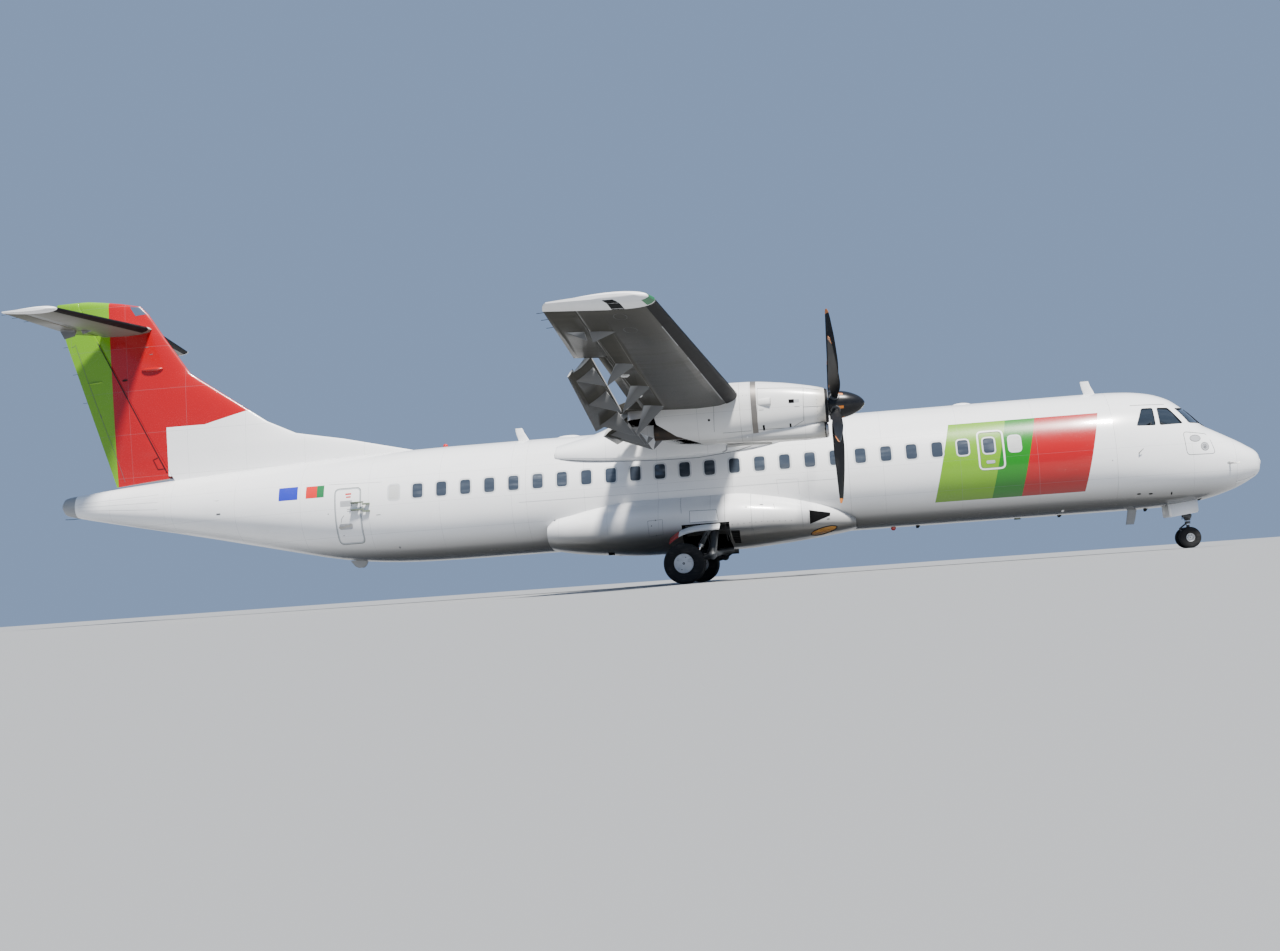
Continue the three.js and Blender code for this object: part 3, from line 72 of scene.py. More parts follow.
def edit(obj, *steps):
    """Runs operators on all of obj's faces in edit mode."""
    only(obj)
    bpy.ops.object.mode_set(mode="EDIT")
    bpy.ops.mesh.select_all(action="SELECT")
    for step in steps:
        step()
    bpy.ops.object.mode_set(mode="OBJECT")


def weld():
    bpy.ops.mesh.remove_doubles(threshold=2e-5)


def outwards():
    bpy.ops.mesh.normals_make_consistent(inside=False)


def applied(obj, kind, **settings):
    """Adds one modifier and applies it."""
    only(obj)
    modifier = obj.modifiers.new("step", kind)
    for key, value in settings.items():
        setattr(modifier, key, value)
    bpy.ops.object.modifier_apply(modifier=modifier.name)
    return obj


def settled(obj):
    """Puts an object's place into its mesh."""
    only(obj)
    bpy.ops.object.transform_apply(location=True, rotation=True, scale=True)
    return obj


def joined(parts):
    """Joins objects into the first of them."""
    bpy.ops.object.select_all(action="DESELECT")
    for part in parts:
        part.select_set(True)
    bpy.context.view_layer.objects.active = parts[0]
    if len(parts) > 1:
        bpy.ops.object.join()
    return parts[0]


def carved(obj, cutter, operation="DIFFERENCE"):
    """Cuts obj by another solid, which is then removed."""
    applied(obj, "BOOLEAN", object=cutter, operation=operation, solver="EXACT")
    bpy.data.objects.remove(cutter)
    return obj


def duplicate(obj, name):
    """A copy with its own mesh."""
    made = bpy.data.objects.new(name, obj.data.copy())
    bpy.context.scene.collection.objects.link(made)
    return made


def piece(obj, name, body, material, angle=35):
    """Names a finished piece, gives it its finish and lets it ride on its body."""
    settled(obj)
    obj.name = name
    obj.data.name = name
    bpy.ops.object.shade_smooth_by_angle(angle=math.radians(angle))
    obj.data.materials.clear()
    obj.data.materials.append(material)
    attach(obj, body)
    return obj


def detail(obj, name, material, body="airframe", angle=40):
    """A small piece with no slot of its own."""
    return piece(obj, name, body, material, angle)


# Shapes


def angles_round(count):
    return [2 * math.pi * k / count for k in range(count)]


def half_turn(count):
    """Angles from 0 to 180 degrees."""
    return [math.pi * k / count for k in range(count + 1)]


def middle_of(points):
    points = [Vector(p) for p in points]
    return sum(points[1:], points[0]) / len(points)


def sheet(rings, closed=True):
    """A sheet through rows of points, shaped from a grid. A ring of one repeated point closes an end."""
    rows = len(rings)
    count = len(rings[0])
    columns = count + 1 if closed else count
    bpy.ops.object.select_all(action="DESELECT")
    bpy.ops.mesh.primitive_grid_add(x_subdivisions=columns - 1, y_subdivisions=rows - 1)
    obj = bpy.context.object
    flat = [value for ring in rings for k in range(columns) for value in ring[k % count]]
    obj.data.vertices.foreach_set("co", flat)
    obj.location = (0, 0, 0)
    edit(obj, weld)
    return obj


def solid(rings):
    """A closed solid through rings, its two ends filled flat."""
    start, end = [[middle_of(ring)] * len(ring) for ring in (rings[0], rings[-1])]
    obj = sheet([start, *rings, end])
    edit(obj, outwards)
    return obj


def facing(obj, direction):
    """Turns an open sheet's faces to look along a direction."""
    total = sum((face.normal * face.area for face in obj.data.polygons), Vector())
    if total.dot(Vector(direction)) < 0:
        edit(obj, bpy.ops.mesh.flip_normals)
    return obj


def thick(obj, depth):
    """Gives an open sheet a wall behind its faces."""
    return applied(obj, "SOLIDIFY", thickness=depth, offset=-1, use_even_offset=True)


def rounded(corners, radius, steps=5):
    """The outline of a polygon with an arc at each corner."""
    outline = []
    count = len(corners)
    for i, corner in enumerate(corners):
        here = Vector(corner)
        before = (Vector(corners[i - 1]) - here).normalized()
        after = (Vector(corners[(i + 1) % count]) - here).normalized()
        for k in range(steps + 1):
            share = k / steps
            a = here + before * radius * (1 - share)
            b = here + after * radius * share
            outline.append(a.lerp(b, share))
    return outline


def finer(outline, longest):
    """The outline with its long edges divided, so that it can follow a curved surface."""
    points = []
    for here, ahead in zip(outline, [*outline[1:], outline[0]]):
        count = max(1, math.ceil((ahead - here).length / longest))
        points += [here.lerp(ahead, k / count) for k in range(count)]
    return points


def rectangle(forward, aft, low, high, margin=0.0):
    return [
        (forward + margin, low + margin),
        (aft - margin, low + margin),
        (aft - margin, high - margin),
        (forward + margin, high - margin),
    ]


def side_prism(outline, y_from, y_to):
    """An outline of stations and heights pushed through along Y."""
    return solid([[place(s, y, z) for s, z in outline] for y in (y_from, y_to)])


def tube(points, radii, sides=12):
    """A round bar through points given as (station, y, z), with a radius at each."""
    points = [place(*p) for p in points]
    if not isinstance(radii, (list, tuple)):
        radii = [radii] * len(points)
    across = None
    rings = []
    for i, point in enumerate(points):
        ahead = (points[min(i + 1, len(points) - 1)] - points[max(i - 1, 0)]).normalized()
        across = ahead.orthogonal() if across is None else across - ahead * across.dot(ahead)
        across.normalize()
        up = ahead.cross(across)
        turns = angles_round(sides)
        rings.append([point + (across * math.cos(a) + up * math.sin(a)) * radii[i] for a in turns])
    return solid(rings)


def spokes(axis, angles):
    """An axis made one unit long, and directions away from it at the given angles."""
    axis = Vector(axis).normalized()
    across = axis.orthogonal().normalized()
    up = axis.cross(across)
    return axis, [across * math.cos(a) + up * math.sin(a) for a in angles]


def turned(profile, origin, axis, segments=48):
    """A solid of revolution. The profile holds (distance along the axis, radius) pairs."""
    axis, outs = spokes(axis, angles_round(segments))
    origin = Vector(origin)
    return solid([[origin + axis * along + out * radius for out in outs] for along, radius in profile])


def revolved(loop, origin, axis, segments=72):
    """A closed outline of (distance along the axis, radius) pairs, turned right round."""
    axis, outs = spokes(axis, angles_round(segments))
    origin = Vector(origin)
    rings = [[origin + axis * along + out * radius for along, radius in loop] for out in [*outs, outs[0]]]
    obj = sheet(rings)
    edit(obj, outwards)
    return obj


def vane(rows, count=10):
    """A thin upright blade. Each row gives height, front station, rear station and half thickness."""
    rings = []
    for z, front, rear, half in rows:
        ring = []
        for angle in angles_round(count):
            back = (1 - math.cos(angle)) / 2
            ring.append(place(front + (rear - front) * back, half * math.sin(angle), z))
        rings.append(ring)
    return solid(rings)


def box(low, high):
    """A block between two corners given as (station, y, z)."""
    a, b = place(*low), place(*high)
    bpy.ops.object.select_all(action="DESELECT")
    bpy.ops.mesh.primitive_cube_add(size=1, location=(a + b) / 2)
    obj = bpy.context.object
    obj.scale = [abs(v) for v in (b - a)]
    return settled(obj)


# The body's form. Columns: station, half width, top, height of the widest point, bottom
BODY = [
    (0.000, 0.085, 1.835, 1.750, 1.668),
    (0.035, 0.205, 1.945, 1.742, 1.540),
    (0.110, 0.315, 2.022, 1.742, 1.460),
    (0.220, 0.415, 2.096, 1.748, 1.395),
    (0.420, 0.572, 2.222, 1.764, 1.290),
    (0.680, 0.722, 2.368, 1.786, 1.185),
    (1.180, 0.930, 2.640, 1.832, 1.045),
    (1.540, 1.050, 3.025, 1.878, 0.985),
    (1.880, 1.148, 3.276, 1.925, 0.948),
    (2.250, 1.238, 3.405, 1.975, 0.927),
    (2.700, 1.325, 3.474, 2.020, 0.918),
    (3.250, 1.398, 3.500, 2.058, 0.917),
    (3.900, 1.4325, 3.5025, 2.070, 0.917),
    (17.60, 1.4325, 3.5025, 2.070, 0.917),
    (18.60, 1.418, 3.492, 2.080, 0.932),
    (19.50, 1.370, 3.470, 2.112, 0.985),
    (20.40, 1.290, 3.442, 2.165, 1.102),
    (21.40, 1.165, 3.402, 2.245, 1.318),
    (22.60, 0.985, 3.338, 2.355, 1.595),
    (23.60, 0.815, 3.282, 2.445, 1.825),
    (24.45, 0.668, 3.236, 2.522, 2.012),
    (25.40, 0.495, 3.170, 2.612, 2.216),
    (26.20, 0.345, 3.104, 2.688, 2.392),
    (26.80, 0.240, 3.048, 2.758, 2.532),
    (27.09, 0.190, 3.002, 2.797, 2.612),
    (LENGTH, 0.095, 2.912, 2.815, 2.718),
]
WINDSCREEN_FOOT = 6  # the row where the top line kinks


def curve_through(xs, ys):
    """A smooth curve through points that never overshoots them."""
    slopes = [(ys[i + 1] - ys[i]) / (xs[i + 1] - xs[i]) for i in range(len(xs) - 1)]
    inner = [0 if a * b <= 0 else 2 * a * b / (a + b) for a, b in zip(slopes, slopes[1:])]
    tangents = [slopes[0], *inner, slopes[-1]]

    def at(x):
        i = min(max(bisect.bisect_right(xs, x) - 1, 0), len(xs) - 2)
        run = xs[i + 1] - xs[i]
        t = min(max((x - xs[i]) / run, 0), 1)
        keep = (1 + 2 * t) * (1 - t) ** 2
        lean = t * (1 - t) ** 2 * run * tangents[i] - t * t * (1 - t) * run * tangents[i + 1]
        return keep * ys[i] + (1 - keep) * ys[i + 1] + lean

    return at


def smooth_sections(table, kink=None):
    """A function that gives half width, top, widest height and bottom at any station."""
    columns = list(zip(*table))
    curves = [curve_through(columns[0], column) for column in columns[1:]]
    if kink:
        ahead = curve_through(columns[0][: kink + 1], columns[2][: kink + 1])
        behind = curve_through(columns[0][kink:], columns[2][kink:])
        curves[1] = lambda s: ahead(s) if s < columns[0][kink] else behind(s)
    return lambda station: [curve(station) for curve in curves]


body_section = smooth_sections(BODY, WINDSCREEN_FOOT)


def hoop(section, station, out=0.0, count=96, upper=2.0, lower=2.2, centre=0.0):
    """A ring across the body: two half superellipses that meet at its widest height."""
    half_width, top, wide, bottom = section(station)
    ring = []
    for angle in angles_round(count):
        c, s = math.cos(angle), math.sin(angle)
        exponent = 2 / (upper if c >= 0 else lower)
        height = (top if c >= 0 else 2 * wide - bottom) - wide + out
        y = (half_width + out) * math.copysign(abs(s) ** exponent, s)
        ring.append(place(station, centre + y, wide + height * math.copysign(abs(c) ** exponent, c)))
    return ring


SKIN_LIFT = 0.006  # the skin lies this far outside the frame's solids
SKIN_WALL = 0.005


def reach_of(section, upper=2.0, lower=2.2, centre=0.0, way=1):
    """A function that gives how far out a form's side is at a station and a height."""

    def reach(station, z, out):
        half_width, top, wide, bottom = section(station)
        exponent, height = (upper, top - wide) if z >= wide else (lower, wide - bottom)
        rise = min(abs(z - wide) / (height + out), 1)
        return centre + way * (half_width + out) * (1 - rise**exponent) ** (1 / exponent)

    return reach


body_reach = reach_of(body_section)


def drawn_in(outline, width):
    """An outline moved inwards by a width."""
    middle = middle_of(outline)
    moved = []
    for i, here in enumerate(outline):
        along = (outline[(i + 1) % len(outline)] - outline[i - 1]).normalized()
        inwards = Vector((-along.y, along.x))
        if inwards.dot(middle - here) < 0:
            inwards.negate()
        moved.append(here + inwards * width)
    return moved


def on_side(side, outline, out=SKIN_LIFT, depth=0.004, rings=4, width=None, reach=body_reach, way=1):
    """A plate on a form's side, round an outline of stations and heights, or a frame as wide as width."""
    outline = finer([Vector(p) for p in outline], 0.05)
    inner = drawn_in(outline, width) if width else [middle_of(outline)] * len(outline)
    rows = []
    for k in range(rings + 1):
        spots = [a.lerp(b, k / rings) for a, b in zip(inner, outline)]
        rows.append([place(s, side * reach(s, z, out), z) for s, z in spots])
    plate = facing(sheet(rows), (0, side * way, 0))
    return thick(plate, depth)


def line_on(side, points, width=0.007, out=SKIN_LIFT + 0.0015, reach=body_reach, way=1):
    """A thin line along a form's side, through stations and heights."""
    points = [Vector(p) for p in points]
    spots = []
    for here, ahead in zip(points, points[1:]):
        count = max(1, math.ceil((ahead - here).length / 0.06))
        spots += [here.lerp(ahead, k / count) for k in range(count)]
    spots.append(points[-1])
    edges = [[], []]
    for i, here in enumerate(spots):
        along = (spots[min(i + 1, len(spots) - 1)] - spots[max(i - 1, 0)]).normalized()
        across = Vector((-along.y, along.x)) * width / 2
        for edge, spot in zip(edges, (here - across, here + across)):
            edge.append(place(spot.x, side * reach(spot.x, spot.y, out), spot.y))
    return thick(facing(sheet(edges, closed=False), (0, side * way, 0)), 0.001)


def disc(station, z, radius, count=12):
    """The outline of a round or, with two radii, an oval spot."""
    wide, high = radius if isinstance(radius, tuple) else (radius, radius)
    return [(station + wide * math.cos(a), z + high * math.sin(a)) for a in angles_round(count)]


# Shader groups


class Tree:
    """Short calls for one node tree."""

    def __init__(self, tree):
        self.tree = tree

    def node(self, kind, inputs=None, **settings):
        made = self.tree.nodes.new(kind)
        for key, value in settings.items():
            setattr(made, key, value)
        for key, value in (inputs or {}).items():
            self.feed(made.inputs[key], value)
        return made

    def feed(self, socket, value):
        if isinstance(value, bpy.types.NodeSocket):
            self.tree.links.new(value, socket)
        elif isinstance(value, bpy.types.Node):
            self.tree.links.new(value.outputs[0], socket)
        else:
            socket.default_value = value

    def math(self, operation, a, b=0.0, clamp=False):
        return self.node("ShaderNodeMath", {0: a, 1: b}, operation=operation, use_clamp=clamp).outputs[0]

    def mix(self, share, a, b):
        made = self.node("ShaderNodeMix", data_type="RGBA")
        self.feed(made.inputs[0], share)
        self.feed(made.inputs[6], a)
        self.feed(made.inputs[7], b)
        return made.outputs[2]

    def step(self, value, start, end):
        """0 before start and 1 after end."""
        names = {"Value": value, "From Min": start, "From Max": end}
        return self.node("ShaderNodeMapRange", names, interpolation_type="SMOOTHSTEP").outputs[0]

    def noise(self, where, scale, detail=3.0, stretch=None):
        if stretch:
            where = self.node("ShaderNodeMapping", {"Vector": where, "Scale": stretch}).outputs[0]
        return self.node("ShaderNodeTexNoise", {"Vector": where, "Scale": scale, "Detail": detail}).outputs[0]


def group(name, inputs, outputs):
    """A node group with named inputs and outputs. Returns its tree and its two end nodes."""
    made = bpy.data.node_groups.new(name, "ShaderNodeTree")
    for label, kind, default in inputs:
        socket = made.interface.new_socket(label, in_out="INPUT", socket_type="NodeSocket" + kind)
        if default is not None:
            socket.default_value = default
    for label, kind in outputs:
        made.interface.new_socket(label, in_out="OUTPUT", socket_type="NodeSocket" + kind)
    tree = Tree(made)
    return tree, tree.node("NodeGroupInput").outputs, tree.node("NodeGroupOutput").inputs


def weathering_group():
    """Broad mottling, fine speckle and streaks that run back along the airflow."""
    tree, given, out = group(
        "Weathering",
        [
            ("Where", "Vector", None),
            ("Clean", "Color", (1, 1, 1, 1)),
            ("Dirt", "Color", (0.3, 0.3, 0.3, 1)),
            ("Amount", "Float", 0.2),
            ("Scale", "Float", 1.0),
            ("Roughness", "Float", 0.3),
        ],
        [("Color", "Color"), ("Roughness", "Float"), ("Height", "Float")],
    )
    sized = {0: given["Where"], 3: given["Scale"]}
    scaled = tree.node("ShaderNodeVectorMath", sized, operation="SCALE").outputs[0]
    broad = tree.noise(scaled, 0.9, 4.0)
    streak = tree.noise(scaled, 5.0, 3.0, (0.12, 1.0, 1.0))
    speckle = tree.noise(scaled, 45.0, 2.0)
    soiled = tree.math("MULTIPLY", tree.step(broad, 0.38, 0.72), tree.step(streak, 0.35, 0.75))
    soiled = tree.math("ADD", soiled, tree.math("MULTIPLY", tree.step(speckle, 0.55, 0.8), 0.15))
    share = tree.math("MULTIPLY", soiled, given["Amount"], clamp=True)
    tree.feed(out["Color"], tree.mix(share, given["Clean"], given["Dirt"]))
    uneven = tree.math("MULTIPLY", tree.math("SUBTRACT", speckle, 0.5), 0.12)
    roughness = tree.math("ADD", given["Roughness"], tree.math("MULTIPLY", share, 0.35))
    tree.feed(out["Roughness"], tree.math("ADD", roughness, uneven, clamp=True))
    height = tree.math("ADD", tree.math("MULTIPLY", broad, 0.6), tree.math("MULTIPLY", speckle, 0.1))
    tree.feed(out["Height"], height)
    return tree.tree


def seams_group():
    """Thin lines at even distances along each axis. An axis whose line width is 0 has none."""
    tree, given, out = group(
        "Seams",
        [
            ("Where", "Vector", None),
            ("First", "Vector", (0, 0, 0)),
            ("Spacing", "Vector", (1, 1, 1)),
            ("Width", "Vector", (0.004, 0.004, 0.004)),
        ],
        [("Mask", "Float")],
    )
    half = (0.5, 0.5, 0.5)
    steps = [
        ("SUBTRACT", {1: given["First"]}),
        ("DIVIDE", {1: given["Spacing"]}),
        ("ADD", {1: half}),
        ("FRACTION", {}),
        ("SUBTRACT", {1: half}),
        ("MULTIPLY", {1: given["Spacing"]}),
        ("ABSOLUTE", {}),
    ]
    nearest = given["Where"]
    for operation, other in steps:
        nearest = tree.node("ShaderNodeVectorMath", {0: nearest, **other}, operation=operation).outputs[0]
    away = tree.node("ShaderNodeSeparateXYZ", {0: nearest}).outputs
    width = tree.node("ShaderNodeSeparateXYZ", {0: given["Width"]}).outputs
    lines = [tree.math("LESS_THAN", away[i], width[i]) for i in range(3)]
    both = tree.math("MAXIMUM", lines[0], lines[1])
    tree.feed(out["Mask"], tree.math("MAXIMUM", both, lines[2]))
    return tree.tree


BAND_LEVEL = 2.0  # the height at which a leaning band is at its stations


def band_group():
    """A band between two stations that leans with height, between two heights."""
    tree, given, out = group(
        "Band",
        [
            ("Where", "Vector", None),
            ("Forward", "Float", 0.0),
            ("Aft", "Float", 1.0),
            ("Lean", "Float", 0.0),
            ("Low", "Float", 0.0),
            ("High", "Float", 10.0),
        ],
        [("Mask", "Float")],
    )
    spot = tree.node("ShaderNodeSeparateXYZ", {0: given["Where"]}).outputs
    station = tree.math("SUBTRACT", LENGTH / 2, spot[0])
    above = tree.math("SUBTRACT", spot[2], BAND_LEVEL)
    leaned = tree.math("SUBTRACT", station, tree.math("MULTIPLY", above, given["Lean"]))
    inside = []
    for value, low, high in ((leaned, "Forward", "Aft"), (spot[2], "Low", "High")):
        past, short = tree.math("GREATER_THAN", value, given[low]), tree.math("LESS_THAN", value, given[high])
        inside.append(tree.math("MULTIPLY", past, short))
    tree.feed(out["Mask"], tree.math("MULTIPLY", *inside))
    return tree.tree


WEATHERING = weathering_group()
SEAMS = seams_group()
BAND = band_group()

# Finishes


def finish(
    name, color, roughness, dirt=(0.2, 0.19, 0.17), amount=0.2, scale=1.0, bump=0.02, layers=(), **constants
):
    """A weathered finish. Each layer is a function (tree, where, colour) that returns the next colour."""
    material = bpy.data.materials.new(name)
    material.use_nodes = True
    tree = Tree(material.node_tree)
    shader = material.node_tree.nodes["Principled BSDF"]
    where = tree.node("ShaderNodeTexCoord").outputs["Object"]
    clean = (*color, 1)
    for layer in layers:
        clean = layer(tree, where, clean)
    values = {"Where": where, "Clean": clean, "Dirt": (*dirt, 1)}
    values.update({"Amount": amount, "Scale": scale, "Roughness": roughness})
    worn = tree.node("ShaderNodeGroup", values, node_tree=WEATHERING)
    tree.feed(shader.inputs["Base Color"], worn.outputs["Color"])
    tree.feed(shader.inputs["Roughness"], worn.outputs["Roughness"])
    relief = {"Height": worn.outputs["Height"], "Strength": bump, "Distance": 0.01}
    lifted = tree.node("ShaderNodeBump", relief)
    tree.feed(shader.inputs["Normal"], lifted.outputs[0])
    for key, value in constants.items():
        shader.inputs[key.replace("_", " ")].default_value = value
    return material


def glass(name, color, roughness, coat, **values):
    """A smooth finish under a clear coat."""
    return finish(name, color, roughness, bump=0.0, Coat_Weight=1.0, Coat_Roughness=coat, **values)


def seams(first, spacing, width, color=(0.2, 0.21, 0.22)):
    """A layer of panel lines."""

    def layer(tree, where, under):
        values = {"Where": where, "First": first, "Spacing": spacing, "Width": width}
        mask = tree.node("ShaderNodeGroup", values, node_tree=SEAMS)
        return tree.mix(tree.math("MULTIPLY", mask.outputs[0], 0.55), under, (*color, 1))

    return layer


def band(color, forward, aft, lean=0.0, low=0.0, high=10.0):
    """A layer that paints one band."""

    def layer(tree, where, under):
        values = {"Where": where, "Forward": forward, "Aft": aft, "Lean": lean, "Low": low, "High": high}
        mask = tree.node("ShaderNodeGroup", values, node_tree=BAND)
        return tree.mix(mask.outputs[0], under, (*color, 1))

    return layer


def fade(color, axis, start, end, most=1.0):
    """A layer that fades to a colour along an axis of the row frame."""

    def layer(tree, where, under):
        along = tree.node("ShaderNodeSeparateXYZ", {0: where}).outputs[axis]
        share = tree.math("MULTIPLY", tree.step(along, start, end), most)
        return tree.mix(share, under, (*color, 1))

    return layer


def painted_shade_below(color):
    """A layer of painted shade: the faces which look down take a darker colour."""

    def layer(tree, where, under):
        normal = tree.node("ShaderNodeTexCoord").outputs["Normal"]
        up = tree.node("ShaderNodeSeparateXYZ", {0: normal}).outputs[2]
        return tree.mix(tree.step(up, 0.1, -0.1), under, (*color, 1))

    return layer


def x_at(station):
    """The x of a station, and in the same way the station of an x."""
    return LENGTH / 2 - station


PAINT_WHITE = (0.90, 0.905, 0.91)
LIVERY_RED = (0.40, 0.001, 0.003)
LIVERY_GREEN = (0.15, 0.36, 0.001)
LIVERY_DARK_GREEN = (0.006, 0.19, 0.003)
body_paint = finish(
    "body_paint",
    PAINT_WHITE,
    0.24,
    amount=0.10,
    layers=[
        band(LIVERY_GREEN, 5.66, 6.86, -0.25, 1.35, 3.0),
        band(LIVERY_DARK_GREEN, 5.04, 5.66, -0.25, 1.35, 3.0),
        band(LIVERY_RED, 3.72, 5.04, -0.25, 1.35, 3.0),
        # Painted shade, with some grime in it: the body goes dark towards its bottom, below about 1.6 m.
        fade((0.055, 0.054, 0.048), 2, 1.62, 1.02, 0.92),
        seams((x_at(3.2), 0, 2.2), (1.62, 1, 0.62), (0.0022, 0, 0.0016)),
    ],
    Coat_Weight=0.5,
    Coat_Roughness=0.08,
)
leg_door_paint = finish(
    "leg_door_paint",
    PAINT_WHITE,
    0.3,
    amount=0.25,
    # Painted shade on the door's downward faces; the red band is livery.
    layers=[painted_shade_below((0.25, 0.25, 0.25)), band(LIVERY_RED, 12.47, 12.9)],
)
tail_paint = finish(
    "tail_paint",
    (0.66, 0.66, 0.64),
    0.36,
    dirt=(0.14, 0.13, 0.11),
    amount=0.35,
    # Painted shade: the tailplane's and elevators' downward faces are darker.
    layers=[painted_shade_below((0.13, 0.128, 0.105))],
)
flap_fairing_paint = finish(
    "flap_fairing_paint",
    (0.45, 0.46, 0.47),
    0.4,
    amount=0.4,
    scale=2,
    # Painted shade on the faces that look down.
    layers=[painted_shade_below((0.12, 0.125, 0.13))],
)
door_paint = finish("door_paint", PAINT_WHITE, 0.26, amount=0.12, Coat_Weight=0.5, Coat_Roughness=0.08)
fin_paint = finish(
    "fin_paint",
    PAINT_WHITE,
    0.26,
    amount=0.06,
    layers=[
        band(LIVERY_RED, 21.5, 25.8, 0.0, 4.49, 9.0),
        band(PAINT_WHITE, 0.0, 33.46, -3.97, 3.0, 5.2),
        band(LIVERY_RED, 24.5, 25.8, 0.0, 3.0, 9.0),
        band(LIVERY_GREEN, 25.8, 28.0, 0.0, 2.9, 9.0),
        seams((x_at(24.0), 0, 4.4), (1.4, 1, 1.02), (0.0024, 0, 0.0024)),
    ],
    Coat_Weight=0.5,
    Coat_Roughness=0.1,
)
nacelle_paint = finish(
    "nacelle_paint",
    (0.76, 0.76, 0.75),
    0.3,
    dirt=(0.16, 0.13, 0.10),
    amount=0.22,
    layers=[
        seams((x_at(9.62), 0, 3.33), (1.05, 1, 0.52), (0.0025, 0, 0.002)),
        fade((0.07, 0.06, 0.05), 0, x_at(12.4), x_at(13.2), 0.75),
        fade((0.42, 0.35, 0.22), 0, x_at(9.50), x_at(9.18), 0.55),
        # Painted shade: the nacelle goes darker towards its bottom, below about 2.95 m.
        fade((0.30, 0.29, 0.26), 2, 2.95, 2.62, 0.7),
    ],
    Coat_Weight=0.35,
    Coat_Roughness=0.15,
)
wing_paint = finish(
    "wing_paint",
    (0.50, 0.50, 0.49),
    0.42,
    dirt=(0.10, 0.09, 0.075),
    amount=0.5,
    scale=0.8,
    layers=[
        # Painted shade: the faces that look down are near black.
        painted_shade_below((0.042, 0.040, 0.032)),
        seams((x_at(11.35), 0.35, 0), (0.62, 0.92, 1), (0.003, 0.003, 0), (0.05, 0.05, 0.05)),
    ],
    Specular_IOR_Level=0.3,
)
fairing_paint = finish(
    "fairing_paint",
    PAINT_WHITE,
    0.3,
    amount=0.16,
    layers=[
        # Painted shade: the belly fairing goes dark towards its bottom, below about 1.55 m.
        fade((0.055, 0.052, 0.042), 2, 1.55, 0.95, 0.92),
        seams((x_at(9.55), 0, 1.55), (1.12, 1, 0.0001), (0.0025, 0, 0)),
    ],
    Coat_Weight=0.4,
    Coat_Roughness=0.12,
)
grey_paint = finish("grey_paint", (0.33, 0.34, 0.35), 0.45, amount=0.35, scale=3)
boot_rubber = finish(
    "boot_rubber", (0.007, 0.007, 0.008), 0.6, dirt=(0.04, 0.036, 0.032), amount=0.3, scale=4,
    Specular_IOR_Level=0.12,
)
blade_finish = finish(
    "blade_finish",
    (0.007, 0.0075, 0.009),
    0.5,
    dirt=(0.05, 0.047, 0.042),
    amount=0.3,
    scale=5,
    Specular_IOR_Level=0.15,
)
collar_grey = finish("collar_grey", (0.06, 0.062, 0.065), 0.4, amount=0.3, scale=8)
spinner_finish = finish(
    "spinner_finish", (0.006, 0.0065, 0.008), 0.28, amount=0.05, scale=5, Specular_IOR_Level=0.3
)
marking_orange = finish("marking_orange", (0.52, 0.15, 0.004), 0.4, amount=0.3, scale=8)
cabin_glass = glass(
    "cabin_glass", (0.035, 0.045, 0.062), 0.06, 0.02, dirt=(0.13, 0.15, 0.18), amount=0.8, scale=2.2
)
cockpit_glass = glass(
    "cockpit_glass", (0.012, 0.017, 0.024), 0.05, 0.02, dirt=(0.05, 0.06, 0.07), amount=0.6, scale=1.4
)
amber_glass = glass(
    "amber_glass", (0.50, 0.24, 0.05), 0.08, 0.03, dirt=(0.12, 0.06, 0.02), amount=0.7, scale=6
)
port_glass = glass("port_glass", (0.25, 0.008, 0.008), 0.08, 0.03, amount=0.1)
starboard_glass = glass("starboard_glass", (0.02, 0.16, 0.06), 0.08, 0.03, amount=0.1)
tyre_rubber = finish(
    "tyre_rubber", (0.016, 0.016, 0.017), 0.78, dirt=(0.09, 0.086, 0.08), amount=0.5, scale=6,
    Specular_IOR_Level=0.25,
)
wheel_white = finish("wheel_white", (0.74, 0.75, 0.76), 0.38, dirt=(0.05, 0.045, 0.04), amount=0.55, scale=7)
# Dark steel, made darker still as painted shade for the deep shade under the aircraft.
gear_steel_and_shade = finish(
    "gear_steel_and_shade", (0.10, 0.105, 0.11), 0.42, dirt=(0.02, 0.018, 0.016), amount=0.6, scale=6, Metallic=0.35
)
chrome = finish("chrome", (0.72, 0.73, 0.75), 0.12, amount=0.15, scale=9, Metallic=1.0)
bare_metal = finish("bare_metal", (0.46, 0.45, 0.43), 0.34, amount=0.4, scale=4, Metallic=0.9)
burnt_metal = finish(
    "burnt_metal", (0.05, 0.043, 0.038), 0.6, dirt=(0.22, 0.12, 0.06), amount=0.5, scale=6, Metallic=0.8
)
# Near black for holes, openings, bays and the frame's solids seen through them: painted shade where their
# insides lie in shade.
painted_cavity_shade = finish(
    "painted_cavity_shade", (0.004, 0.004, 0.0045), 0.9, dirt=(0.02, 0.02, 0.02), amount=0.3, scale=5,
    Specular_IOR_Level=0.05,
)
primer = finish("primer", (0.15, 0.18, 0.13), 0.6, amount=0.4, scale=3)
seal_black = finish(
    "seal_black", (0.01, 0.01, 0.011), 0.6, dirt=(0.05, 0.05, 0.05), amount=0.3, scale=8,
    Specular_IOR_Level=0.2,
)
window_trim = finish("window_trim", (0.62, 0.64, 0.66), 0.35, amount=0.25, scale=6)
window_blank = finish("window_blank", (0.55, 0.56, 0.55), 0.4, amount=0.3, scale=5)
marking_white = finish("marking_white", (0.82, 0.82, 0.82), 0.4, amount=0.15, scale=5)
panel_line = finish("panel_line", (0.10, 0.105, 0.11), 0.5, amount=0.3, scale=8)
faint_line = finish("faint_line", (0.42, 0.43, 0.44), 0.45, amount=0.3, scale=8)
recess_grey = finish("recess_grey", (0.40, 0.41, 0.43), 0.45, amount=0.3, scale=9)
